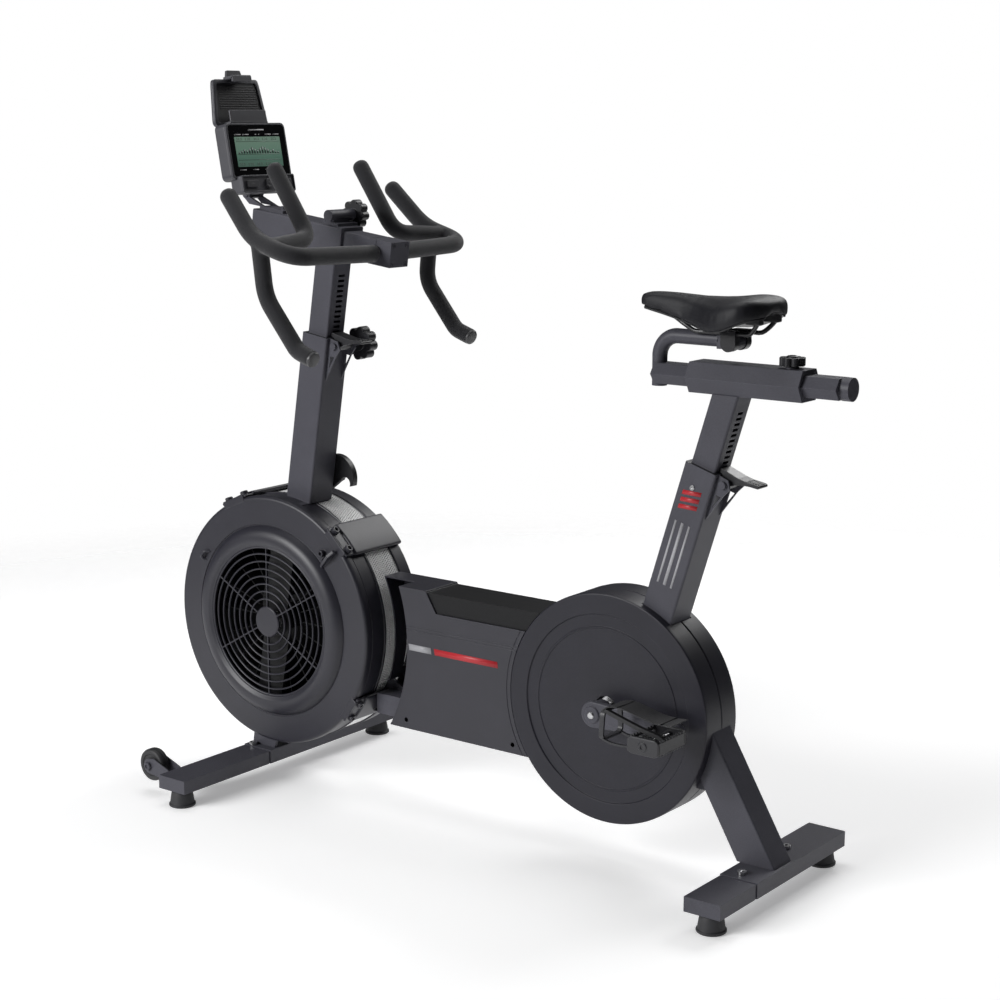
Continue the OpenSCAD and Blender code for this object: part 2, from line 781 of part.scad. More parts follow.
// Two cheeks and the bolt between them; front is the beam's face they meet
module wheel_fork(front) {
    plate_y(tw_y[0] - 4.5, tw_y[0] - 1.5) fork_cheek(front);
    plate_y(tw_y[1] + 1.5, tw_y[1] + 4.5) fork_cheek(front);
    translate([tw[0], 0, tw[1]]) {
        rod_y(5, tw_y[0] - 1.5, tw_y[1] + 1.5);
        rod_y(8, tw_y[1] + 4.5, tw_y[1] + 9);
        rod_y(8, tw_y[0] - 8, tw_y[0] - 4.5);
    }
}
module wheel_forks() {
    face = front_beam_x - beam_w / 2;
    color(steel) {
        mirror([0, 1, 0]) wheel_fork(face + 1.5);
        wheel_fork(face);
    }
}
module transport_wheel() {
    translate([tw[0], 0, tw[1]]) turned_y([
        [5 + run, tw_y[0]], [22, tw_y[0]], [23, tw_y[0] + 2], [27, tw_y[0] + 2],
        [tw_r - 2, tw_y[0] + 1], [tw_r, tw_y[0] + 5], [tw_r, tw_y[1] - 5],
        [tw_r - 2, tw_y[1] - 1], [27, tw_y[1] - 2], [23, tw_y[1] - 2],
        [22, tw_y[1]], [5 + run, tw_y[1]]
    ]);
}
module transport_wheel_left() { color(black) mirror([0, 1, 0]) transport_wheel(); }
module transport_wheel_right() { color(black) transport_wheel(); }

// ---------- bolts ----------
module cap_screw(r, h) {
    difference() {
        cylinder(r = r, h = h);
        translate([0, 0, h / 2]) cylinder(r = r * 0.5, h = h, $fn = 6);
    }
}
module frame_bolts() {
    color(silver) {
        for (y = [-70, 70])
            translate([front_beam_x - 18, y, beam_top]) cap_screw(8, 6);
        for (y = [-76, 76])
            translate([rear_beam_x - 6, y, beam_top]) cap_screw(8, 6);
        in_seat() translate([-4, -outer_w / 2, seat_hi - 38]) rotate([90, 0, 0]) cap_screw(4.5, 1.5);
    }
}

// ---------- handlebar column ----------
rack_pitch = 10;
// Sliding tube with a row of pawl slots down its rear face
module racked_tube(lo, hi, first, teeth) {
    difference() {
        rect_tube(inner_s, inner_s, lo, hi, wall);
        for (i = [0:teeth - 1])
            translate([inner_s / 2 - 6, -9, first - i * rack_pitch]) cube([12, 18, 5]);
    }
}
module handlebar_post() {
    color(steel) {
        difference() {
            in_post() racked_tube(-60, 400, 288, 20);
            in_beam() translate([-300, -60, -sleeve_h / 2]) cube([600, 120, 300]);
        }
        in_beam() {
            difference() {
                rotate([0, 90, 0]) round_bar(sleeve_h, sleeve_w, sleeve_x[0], sleeve_x[1], 3);
                rotate([0, 90, 0]) round_bar(reach_h + 2 * gap, reach_w + 2 * gap,
                    sleeve_x[0] + 4, sleeve_x[1] + 1, 3);
            }
            // Pinch block with its rod along Y
            translate([rod[0] - 20, -26, sleeve_h / 2 - 0.01]) cube([40, 56, 6]);
            translate([rod[0] - 9, -26, sleeve_h / 2 + 5]) cube([18, 44, 10]);
            translate([rod[0], 0, rod[1]]) {
                rod_y(11, -34, 34);
                rod_y(4, 34, 50);
            }
            // Console foot: base plate, screw and two cheeks
            translate([-184, -21, sleeve_h / 2 - 0.01]) cube([62, 42, 6]);
            translate([-140, 0, sleeve_h / 2 + 5.9]) cylinder(r = 6, h = 5);
        }
        neck_cheeks();
    }
}
// Two cheeks that lean out from the beam's front end to the console's pin
module neck_cheeks() {
    pin = console_pin;
    difference() {
        in_console() both_sides() plate_y(14, 20) {
            translate(pin) circle(10);
            polygon([
                [pin[0] - 9, pin[1] - 4], [pin[0] + 6, pin[1] - 7],
                [14, -58], [14, -66], [-12, -66]
            ]);
        }
        in_beam() translate([-400, -60, sleeve_h / 2 + 5 - 300]) cube([600, 120, 300]);
    }
    in_console() translate([pin[0], 0, pin[1]]) {
        rod_y(4, -14, 14);
        both_sides() rod_y(7, 20, 23);
    }
}
module reach_tube() {
    color(steel) in_beam() difference() {
        rotate([0, 90, 0]) round_bar(reach_h, reach_w, -100, clamp_x[0], 3);
        rotate([0, 90, 0]) round_bar(reach_h - 2 * wall, reach_w - 2 * wall,
            -101, clamp_x[0] - 5, 2);
    }
}
module bar_clamp() {
    // Front half welded to the reach tube, rear half held by four screws
    color(steel) in_beam() {
        difference() {
            union() {
                translate([clamp_x[0], -26.5, -25]) cube([bar_x - clamp_x[0] - 0.5, 53, 47.5]);
                translate([bar_x + 0.5, -26.5, -25]) cube([clamp_x[1] - bar_x - 0.5, 53, 47.5]);
            }
            translate([bar_x, 0, bar_z]) rod_y(bar_d / 2 + bend_swell + 0.01, -30, 30);
            for (y = [-18.5, 18.5], z = [-19, 16])
                translate([clamp_x[1] - 3, y, z]) rotate([0, 90, 0]) cylinder(r = 5, h = 4);
        }
        for (y = [-18.5, 18.5], z = [-19, 16])
            translate([clamp_x[1] - 3, y, z]) rotate([0, 90, 0]) cap_screw(4.2, 3);
    }
}

// ---------- handlebar ----------
bar_c = beam_o + [bar_x * cos(beam_drop) + bar_z * sin(beam_drop), 0,
    bar_z * cos(beam_drop) - bar_x * sin(beam_drop)];
side_a = [-249.6, 250, 1072];       // where the cross bar turns forward
side_b = [-347.6, 244, 1103];       // where the side bar turns up
main_pts = [[bar_c[0], 31, bar_c[2]], side_a, side_b, [-417.6, 231, 1175]];
main_bends = [52, 120];
inner_pts = [[-300.6, 247, 1088], [-320.6, 122, 1096], [-404.6, 121.5, 1220]];
drop_pts = [[-330.6, 244, 1097], [-330.6, 231, 996], [-254.6, 230, 903], [-217.2, 230, 890]];
module bar_paths(r) {
    translate([bar_c[0], 0, bar_c[2]]) rod_y(r + bend_swell, -32, 32);
    both_sides() {
        bent_tube(main_pts, main_bends, r);
        bent_tube(inner_pts, [38], r - 0.4);
        bent_tube(drop_pts, [70, 36], r - 0.6);
    }
}
function tip(points, d) =
    let (n = len(points) - 1) points[n] + unit(points[n] - points[n - 1]) * d;
module bar_core(r) {
    bar_paths(r);
}
module handlebar() { color(silver) bar_core(bar_d / 2); }
module handlebar_foam() {
    color(black) difference() {
        union() {
            bar_paths(foam_d / 2);
            both_sides() {
                translate(tip(main_pts, -0.5)) sphere(foam_d / 2 - 0.3);
                translate(tip(inner_pts, -0.5)) sphere(foam_d / 2 - 0.7);
            }
        }
        bar_core(bar_d / 2);
        in_beam() translate([bar_x, 0, bar_z]) rod_y(foam_d, -28, 28);
    }
}
module bar_end_caps() {
    color(silver) both_sides()
        straight(tip(drop_pts, 0.02), tip(drop_pts, 4), 15);
}

module reach_knob() {
    color(black) in_beam() translate([rod[0], 36, rod[1]]) along_y() star_knob(28, 22, 4 + run);
}

// ---------- console ----------
module console_case() {
    w = console_w;
    h = console_h;
    pin = console_pin;
    color(plastic) in_console() difference() {
        union() {
            translate([-console_d, 0, h / 2]) rotate([0, 90, 0]) round_bar(h, w, 0, console_d, 9);
            // Rear pod and the raised key bar
            translate([-console_d - 12, 0, 44]) rotate([0, 90, 0]) round_bar(62, 132, 0, 12.01, 6);
            translate([-18, 0, -10]) rotate([0, 90, 0]) round_bar(34, 146, 0, 32, 3);
            translate([pin[0] - 10, -12, pin[1] - 10]) cube([20, 24, 36]);
        }
        translate([-2.5, 0, h / 2 + 4]) rotate([0, 90, 0]) round_bar(h - 14, w - 8, 0, 4, 6);
        translate([pin[0], 0, pin[1]]) rod_y(4 + run, -13, 13);
        for (y = [-46, 0, 46])
            translate([10, y, -10]) rotate([0, 90, 0]) button_hole(y);
    }
}
module button_hole(y) {
    translate([0, 0, -4]) if (y == 0) cylinder(r = 10.5, h = 12);
    else linear_extrude(12) round_rect(15, 33, 3);
}
module button_cap(y) {
    translate([8, y, -10]) rotate([0, 90, 0])
        if (y == 0) cylinder(r = 10, h = 7.5);
        else linear_extrude(7.5) round_rect(14, 32, 2.5);
}
module button_left() { color(black) in_console() button_cap(-46); }
module button_centre() { color(black) in_console() button_cap(0); }
module button_right() { color(black) in_console() button_cap(46); }
module console_screen() {
    color([0.35, 0.5, 0.42]) in_console() translate([-2.5, 0, console_h / 2 + 4])
        rotate([0, 90, 0]) round_bar(console_h - 14.2, console_w - 8.2, 0, 2, 6);
}

holder_x = -34;                   // tablet plate behind the console's face
module tablet_holder() {
    color(plastic) in_console() difference() {
        union() {
            // Tapered back plate
            translate([holder_x - 10, 0, 0]) rotate([90, 0, 90]) linear_extrude(10)
                polygon([
                    [-74, console_h + 0.1], [74, console_h + 0.1], [62, 193],
                    [55, 201], [-55, 201], [-62, 193]
                ]);
            // Shelf and its lip
            translate([holder_x, -52, console_h + 2]) cube([20, 104, 4]);
            translate([holder_x + 16, -50, console_h + 2]) cube([4, 100, 24]);
            translate([holder_x - 10, -40, 78]) cube([8, 80, 33]);
        }
        translate([holder_x - 3, 0, 152]) rotate([0, 90, 0]) round_bar(76, 104, 0, 4, 6);
        translate([holder_x - 8, -13.4, 150]) cube([5, 26.8, 70]);
    }
}
module tablet_clip() {
    color(plastic) in_console() {
        translate([holder_x - 7.6, -13, 169]) cube([4.2, 26, 36]);
        translate([holder_x - 7.6, -26, 201.4]) cube([26, 52, 5]);
        translate([holder_x - 7.6, -20, 205]) cube([6, 40, 14]);
        translate([holder_x + 14, -26, 195]) cube([4.4, 52, 7]);
    }
}

// ---------- saddle side ----------
// Six-sided profile with side ridges, in Y and Z
module ridge_profile(half, wide, flat) {
    polygon([[-wide, 0], [-flat, half], [flat, half], [wide, 0], [flat, -half], [-flat, -half]]);
}
module ridge_bar(x0, x1, half, wide, flat) {
    translate([x0, 0, slide_z]) rotate([90, 0, 90]) linear_extrude(x1 - x0)
        ridge_profile(half, wide, flat);
}
module seat_post() {
    color(steel) {
        difference() {
            in_seat() racked_tube(-60, 400, 256, 20);
            translate([slide_x[0], -60, slide_z - sleeve_half]) cube([500, 120, 300]);
        }
        difference() {
            ridge_bar(sleeve_s[0], sleeve_s[1], sleeve_half, 37, 23);
            ridge_bar(sleeve_s[0] - 1, sleeve_s[1] + 1, slide_half + gap, 29.6, 17.6);
        }
        translate([seat_knob_x, 0, slide_z + sleeve_half - 0.01]) {
            cylinder(r = 11, h = 4);
            cylinder(r = 5, h = 16);
        }
    }
}
module seat_knob() {
    color(black) translate([seat_knob_x, 0, slide_z + sleeve_half + 4.4]) star_knob(22, 17, 5 + run);
}
goose_pts = [[373.4, 0, 868], [373.4, 0, 955], [494.4, 0, 955]];
module seat_slide() {
    color(steel) {
        ridge_bar(slide_x[0], slide_x[1], slide_half, 29, 17);
        bent_tube(goose_pts, [36], 13);
        translate([slide_x[1], 0, slide_z]) rotate([0, 90, 0]) cylinder(r = 19.5, h = 16.9);
        translate([saddle_pin[0] - 30, -12, 940]) cube([22, 24, 26]);
        translate([saddle_pin[0], 0, saddle_pin[1]]) difference() {
            rod_y(13, -12, 12);
            rod_y(4 + run, -13, 13);
        }
    }
}
rail_y = 20;
rail_z = 968;
rail_pts = [[416, 13, 985], [454, rail_y, rail_z], [560, rail_y, rail_z], [582, 30, 992]];
module saddle_clamp() {
    color(steel) difference() {
        translate([saddle_pin[0], 0, saddle_pin[1]]) {
            rod_y(4, -13, 13);
            both_sides() {
                rod_y(14.5, 12.6, 27);
                translate([-14, 12.6, 2]) cube([28, 14.4, 19]);
            }
        }
        for (y = [-rail_y, rail_y])
            translate([saddle_pin[0] - 80, y, rail_z]) rotate([0, 90, 0]) cylinder(r = 4.02, h = 160);
    }
}
module saddle_rails() {
    color(black) both_sides() bent_tube(rail_pts, [20, 16], 4);
}
module saddle() {
    // Closed solid the size of the padded saddle, narrow nose to the front
    color(black) difference() {
        union() {
            hull() {
                translate([352, 0, 1012]) sphere(14, $fn = 24);
                translate([472, -18, 1002]) sphere(18, $fn = 24);
                translate([472, 18, 1002]) sphere(18, $fn = 24);
            }
            hull() {
                translate([482, -20, 1002]) sphere(17, $fn = 24);
                translate([482, 20, 1002]) sphere(17, $fn = 24);
                translate([564, -62, 1012]) sphere(19, $fn = 24);
                translate([564, 62, 1012]) sphere(19, $fn = 24);
                translate([578, 0, 1012]) sphere(19, $fn = 24);
            }
        }
        translate([330, -100, 940]) cube([300, 200, 50]);
    }
}

front_beam();
rear_beam();
front_post();
lower_frame();
seat_tube();
rear_leg();
bearings();
shroud_left();
shroud_right();
shroud_insert();
disc_cover_left();
disc_cover_right();
fan_shell_left();
fan_shell_right();
fan_grilles();
mesh_band();
band_brackets();
wheel_forks();
post_bushings();
lever_lugs();
strap_hook();
drive_belt();
frame_bolts();
levelling_feet();
fan_wheel();
fan_axle();
fan_pulley();
crank_axle();
crank_arms();
drive_pulley();
pedal_spindles();
pedal_left();
pedal_right();
toe_cage_left();
toe_cage_right();
transport_wheel_left();
transport_wheel_right();
handlebar_post();
reach_tube();
bar_clamp();
handlebar();
handlebar_foam();
bar_end_caps();
reach_knob();
post_knob();
seat_knob();
post_lever();
seat_lever();
console_case();
console_screen();
button_left();
button_centre();
button_right();
tablet_holder();
tablet_clip();
seat_post();
seat_slide();
saddle();
saddle_rails();
saddle_clamp();
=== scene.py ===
import json
import math

import bmesh
import bpy
from mathutils import Matrix, Vector


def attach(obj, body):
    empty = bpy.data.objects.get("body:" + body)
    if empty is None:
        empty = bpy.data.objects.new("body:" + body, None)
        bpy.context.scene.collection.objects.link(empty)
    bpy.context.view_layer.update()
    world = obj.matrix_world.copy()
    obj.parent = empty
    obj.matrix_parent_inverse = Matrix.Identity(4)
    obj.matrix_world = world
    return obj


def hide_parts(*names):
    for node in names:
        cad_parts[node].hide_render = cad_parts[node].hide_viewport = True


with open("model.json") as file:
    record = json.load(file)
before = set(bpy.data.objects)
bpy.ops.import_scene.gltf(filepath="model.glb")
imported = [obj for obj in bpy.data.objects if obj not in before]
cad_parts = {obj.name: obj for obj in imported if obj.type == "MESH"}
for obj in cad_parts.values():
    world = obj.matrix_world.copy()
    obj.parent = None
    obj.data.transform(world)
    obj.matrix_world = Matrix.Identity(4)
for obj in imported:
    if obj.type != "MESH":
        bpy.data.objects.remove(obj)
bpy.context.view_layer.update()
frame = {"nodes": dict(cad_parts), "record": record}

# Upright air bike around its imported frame. Shapes are written in millimetres in
# the same local frames as the CAD source, and turned into metres when placed.

nodes = frame["nodes"]
MM = 0.001

# Axle centres and crank length, in millimetres
FAN_X, FAN_Z = -489.6, 330.8
CRANK_X, CRANK_Z, CRANK_LENGTH = 301.5, 288.5, 170
WHEEL_X, WHEEL_Z = -624.1, 58
# How much further out the fan's right shell stands than its left one
FAR_Y = 22
# Corners sharper than this get a shape's bevel
BEVEL_CORNER = math.radians(28)


def about_y(degrees):
    return Matrix.Rotation(math.radians(degrees), 4, "Y")


def place(x=0.0, y=0.0, z=0.0, tilt=0.0):
    """Local frame at a point in millimetres, turned about Y by tilt degrees."""
    spot = Matrix.Translation(Vector((x, y, z)) * MM)
    return spot @ about_y(tilt) @ Matrix.Scale(MM, 4)


WORLD = place()
POST = place(-420.9, 0, 736, 9)
SEAT = place(433.1, 0, 594, 17.4)
BEAM = place(-365.2, 0, 1087.4, 7.5)
CONSOLE = place(-551.6, 0, 1198, -10.5)
FAN = place(FAN_X, 0, FAN_Z)
CRANK = place(CRANK_X, 0, CRANK_Z)
PEDAL_L = place(CRANK_X + CRANK_LENGTH, 0, CRANK_Z)
PEDAL_R = place(CRANK_X - CRANK_LENGTH, 0, CRANK_Z)


def aimed(spot, way):
    """Moves what stands on the origin along Z to a spot, along way."""
    turn = Vector((0, 0, 1)).rotation_difference(way).to_matrix().to_4x4()
    return Matrix.Translation(spot) @ turn


def new_object(name, data):
    obj = bpy.data.objects.new(name, data)
    bpy.context.scene.collection.objects.link(obj)
    return obj


# ---------- shapes ----------
def fillet(points, radius, steps=4, closed=True):
    """Polygon or polyline with each corner rounded, as far as its sides allow."""
    pts = [Vector(p) for p in points]
    out, n = [], len(pts)
    for i, p in enumerate(pts):
        if not closed and i in (0, n - 1):
            out.append(p)
            continue
        a, b = pts[i - 1] - p, pts[(i + 1) % n] - p
        if a.length < 1e-6 or b.length < 1e-6:
            continue
        angle = a.angle(b)
        if angle > math.radians(176):
            out.append(p)
            continue
        cut = min(radius / math.tan(angle / 2), a.length * 0.48, b.length * 0.48)
        start, end = p + a.normalized() * cut, p + b.normalized() * cut
        for k in range(steps + 1):
            t = k / steps
            out.append(start * (1 - t) ** 2 + p * 2 * t * (1 - t) + end * t * t)
    return out


def smooth_path(points, step=6.0):
    """Points of a Catmull-Rom curve through the given ones, about step apart."""
    p = [Vector(q) for q in points]
    p = [p[0] * 2 - p[1]] + p + [p[-1] * 2 - p[-2]]
    out = []
    for i in range(1, len(p) - 2):
        n = max(2, int((p[i + 1] - p[i]).length / step))
        for k in range(n):
            t = k / n
            a, b, c, d = p[i - 1], p[i], p[i + 1], p[i + 2]
            out.append(0.5 * (2 * b + (c - a) * t + (2 * a - 5 * b + 4 * c - d) * t * t
                              + (3 * b - a - 3 * c + d) * t ** 3))
    out.append(p[-2])
    return out


def circle(radius, steps=16, x=0.0, y=0.0):
    """Outline of a circle."""
    return [(x + radius * math.cos(2 * math.pi * k / steps),
             y + radius * math.sin(2 * math.pi * k / steps)) for k in range(steps)]


def both_sides(right):
    """Outline of a shape even about zero, from its right half, low point first."""
    left = [(-y, z) for y, z in reversed(right[1:])]
    return [(-right[0][0], right[0][1]), *right, *left]


def skin_faces(n, rows, closed=False):
    """Faces between each row of n points and the next, or the first if closed."""
    faces = []
    for i in range(rows if closed else rows - 1):
        j = (i + 1) % rows
        for k in range(n):
            q = (k + 1) % n
            faces.append((i * n + k, i * n + q, j * n + q, j * n + k))
    return faces


AXES = {
    "X": lambda a, b, h: (h, a, b),
    "Y": lambda a, b, h: (a, h, b),
    "Z": lambda a, b, h: (a, b, h),
}


class Shape:
    """Closed bodies in millimetres in one local frame, gathered into one mesh."""

    def __init__(self, frame_matrix=WORLD):
        self.bm = bmesh.new()
        self.frame = frame_matrix

    def pour(self, other):
        """Adds the faces of a bmesh."""
        mesh = bpy.data.meshes.new("part")
        other.to_mesh(mesh)
        self.bm.from_mesh(mesh)
        bpy.data.meshes.remove(mesh)
        return self

    def take(self, verts, faces, bevel=0.0, steps=2):
        """Adds one body, with its sharp edges bevelled if asked."""
        part = bmesh.new()
        vs = [part.verts.new(v) for v in verts]
        for f in faces:
            part.faces.new([vs[i] for i in f])
        bmesh.ops.recalc_face_normals(part, faces=part.faces)
        if bevel:
            sharp = [e for e in part.edges
                     if len(e.link_faces) == 2
                     and e.calc_face_angle(0.0) > BEVEL_CORNER]
            bmesh.ops.bevel(part, geom=sharp, offset=bevel, segments=steps,
                            profile=0.5, affect="EDGES", clamp_overlap=True)
        self.pour(part)
        part.free()
        return self

    def prism(self, outline, lo, hi, axis="Y", bevel=0.0, steps=2):
        """Outline pushed from lo to hi along an axis."""
        to, n = AXES[axis], len(outline)
        verts = [to(p[0], p[1], h) for h in (lo, hi) for p in outline]
        ends = [tuple(range(n)), tuple(range(n, 2 * n))]
        return self.take(verts, ends + skin_faces(n, 2), bevel, steps)

    def box(self, lo, hi, bevel=1.0, steps=2):
        (x0, y0, z0), (x1, y1, z1) = lo, hi
        return self.prism([(x0, z0), (x1, z0), (x1, z1), (x0, z1)], y0, y1,
                          "Y", bevel, steps)

    def lathe(self, profile, axis="Y", steps=96, at=(0, 0), lift=0.0):
        """Profile of [radius, height] turned about an axis through at."""
        to, rings, verts, faces = AXES[axis], [], [], []
        open_ends = profile[0][0] == 0 and profile[-1][0] == 0
        for r, h in profile:
            first = len(verts)
            if r == 0:
                rings.append([first] * steps)
                verts.append(to(*at, h + lift))
            else:
                rings.append(list(range(first, first + steps)))
                verts += [to(*p, h + lift) for p in circle(r, steps, *at)]
        n = len(profile)
        for i in range(n - 1 if open_ends else n):
            a, b = rings[i], rings[(i + 1) % n]
            for k in range(steps):
                q = (k + 1) % steps
                loop = [a[k], a[q], b[q], b[k]]
                loop = [v for j, v in enumerate(loop) if v not in loop[:j]]
                faces.append(loop)
        return self.take(verts, faces)

    def tube(self, path, radius, sides=16, section=None, up=None, dome=False,
             closed=False):
        """Round or shaped section swept along a path."""
        path = [Vector(p) for p in path]
        count = len(path)
        section = section or circle(1.0, sides)
        sides = len(section)
        size = radius if callable(radius) else (lambda t: radius)

        def heading(i):
            if closed:
                return (path[(i + 1) % count] - path[i - 1]).normalized()
            return (path[min(i + 1, count - 1)] - path[max(i - 1, 0)]).normalized()

        d = heading(0)
        side = Vector(up).cross(d) if up else d.orthogonal()
        side.normalize()
        spots = []
        for i, p in enumerate(path):
            new = heading(i)
            if up:
                side = Vector(up).cross(new).normalized()
            else:
                side = (d.rotation_difference(new) @ side).normalized()
            d = new
            spots.append((p, side, d.cross(side), d, size(i / (count - 1))))
        if dome and not closed:
            cap = [(math.sin(a), math.cos(a)) for a in (1.3, 0.9, 0.5)]
            p, s, u, d0, r = spots[0]
            first = [(p - d0 * r * a, s, u, d0, r * b) for a, b in cap]
            p, s, u, d0, r = spots[-1]
            last = [(p + d0 * r * a, s, u, d0, r * b) for a, b in reversed(cap)]
            spots = first + spots + last
        verts = [tuple(p + s * a * r + u * b * r)
                 for p, s, u, _, r in spots for a, b in section]
        rows = len(spots)
        faces = skin_faces(sides, rows, closed)
        if not closed:
            faces.append(tuple(range(sides)))
            faces.append(tuple(range((rows - 1) * sides, rows * sides)))
        return self.take(verts, faces)

    def turned(self, matrix, start=0):
        """Moves what was added since the vertex count start."""
        self.bm.verts.ensure_lookup_table()
        for v in self.bm.verts[start:]:
            v.co = matrix @ v.co
        return self

    def mark(self):
        """Vertex count so far, for turned to start from."""
        return len(self.bm.verts)

    def mirrored(self, keep=True):
        """Copies everything to the other side of Y = 0, or moves it there."""
        start = 0
        if keep:
            start = self.mark()
            self.pour(self.bm)
        self.bm.verts.ensure_lookup_table()
        new = set(self.bm.verts[start:])
        for v in new:
            v.co.y = -v.co.y
        bmesh.ops.reverse_faces(
            self.bm, faces=[f for f in self.bm.faces if f.verts[0] in new])
        return self

    def mesh(self, name):
        data = bpy.data.meshes.new(name)
        self.bm.transform(self.frame)
        self.bm.to_mesh(data)
        self.bm.free()
        return data

    def piece(self, name, body, slot, replaces=(), look=None, sharp=34):
        finish_piece(self.mesh(name), name, body, slot, replaces, look, sharp)


def finish_piece(data, name, body, slot, replaces=(), look=None, sharp=34):
    """Puts a mesh on its body, with its slot's material or the one named by look.

    Edges sharper than sharp, in degrees, stay sharp; 0 smooths them all."""
    for p in data.polygons:
        p.use_smooth = True
    if sharp:
        data.set_sharp_from_angle(angle=math.radians(sharp))
    obj = new_object(name, data)
    data.materials.append(mats[look or slot])
    if sharp:
        even = obj.modifiers.new("even_normals", "WEIGHTED_NORMAL")
        even.keep_sharp = True
    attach(obj, body)
    if replaces:
        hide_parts(*replaces)
    return obj


# ---------- materials ----------
mats = {}


class Nodes:
    """Short way to write a node tree round one Principled shader."""

    def __init__(self, name):
        mats[name] = bpy.data.materials.new(name)
        mats[name].use_nodes = True
        self.tree = mats[name].node_tree
        self.tree.nodes.clear()
        out = self.add("OutputMaterial")
        self.bsdf = self.add("BsdfPrincipled")
        self.link(self.bsdf.outputs[0], out.inputs["Surface"])
        self.spot = self.add("TexCoord").outputs["Object"]

    def link(self, a, b):
        self.tree.links.new(a, b)

    def feed(self, socket, value):
        """Sets an input to a number or colour, or links it."""
        if isinstance(value, (int, float)):
            socket.default_value = value
        elif isinstance(value, tuple):
            socket.default_value = (*value, 1)
        else:
            self.link(value, socket)

    def put(self, node, **values):
        """Sets a node's own settings or its inputs, with _ for a space."""
        for key, value in values.items():
            if hasattr(node, key):
                setattr(node, key, value)
            else:
                self.feed(node.inputs[key.replace("_", " ")], value)
        return node

    def add(self, kind, **values):
        return self.put(self.tree.nodes.new("ShaderNode" + kind), **values)

    def math(self, op, a, b=None, clamp=False):
        node = self.add("Math", operation=op, use_clamp=clamp)
        for socket, value in zip(node.inputs, (a, b)):
            if value is not None:
                self.feed(socket, value)
        return node.outputs[0]

    def noise(self, size_mm, detail=2.0, rough=0.5):
        return self.add("TexNoise", Scale=1000.0 / size_mm, Detail=detail,
                        Roughness=rough, Vector=self.spot).outputs[0]

    def ramp(self, value, stops):
        node = self.add("ValToRGB")
        self.feed(node.inputs[0], value)
        elements = node.color_ramp.elements
        while len(elements) < len(stops):
            elements.new(0.5)
        for element, (spot, colour) in zip(elements, stops):
            element.position = spot
            element.color = (*colour, 1)
        return node.outputs[0]

    def mix(self, factor, a, b, blend="MIX"):
        node = self.add("Mix", data_type="RGBA", blend_type=blend)
        for i, value in ((0, factor), (6, a), (7, b)):
            self.feed(node.inputs[i], value)
        return node.outputs[2]

    def around(self, x0, z0):
        """Way along X and Z from a point in millimetres, and the distance."""
        part = self.add("SeparateXYZ", Vector=self.spot)
        x = self.math("SUBTRACT", part.outputs[0], x0 * MM)
        z = self.math("SUBTRACT", part.outputs[2], z0 * MM)
        square = self.math("ADD", self.math("MULTIPLY", x, x),
                           self.math("MULTIPLY", z, z))
        return x, z, self.math("SQRT", square)


# Radius within which the frame is painted near-black as painted shade inside the fan
# housing, and radius and pitch of the round cover's weave, in metres
FAN_SHADE_R, WEAVE_R, WEAVE_PITCH = 0.236, 0.1465, 0.0052


def inside_fan_shade(n):
    """One within the fan housing, where the frame is painted near-black as painted
    shade.
    """
    return n.math("LESS_THAN", n.around(FAN_X, FAN_Z)[2], FAN_SHADE_R)


def disc_weave(n):
    """Height of a fine dotted weave inside the round cover's thin ring."""
    x, z, radius = n.around(CRANK_X, CRANK_Z)
    waves = 2 * math.pi / WEAVE_PITCH
    a = n.math("SINE", n.math("MULTIPLY", n.math("ADD", x, z), waves))
    b = n.math("SINE", n.math("MULTIPLY", n.math("SUBTRACT", x, z), waves))
    dots = n.math("MULTIPLY", n.math("MULTIPLY", a, b),
                  n.math("LESS_THAN", radius, WEAVE_R))
    return n.math("MULTIPLY", dots, 1.6)


def scaled(colour, by):
    return tuple(min(1.0, c * by) for c in colour)


def grey(level):
    return (level, level, level)


# Near-black painted shade for the frame inside the fan housing
FAN_SHADE_BLACK = (0.007, 0.007, 0.008)


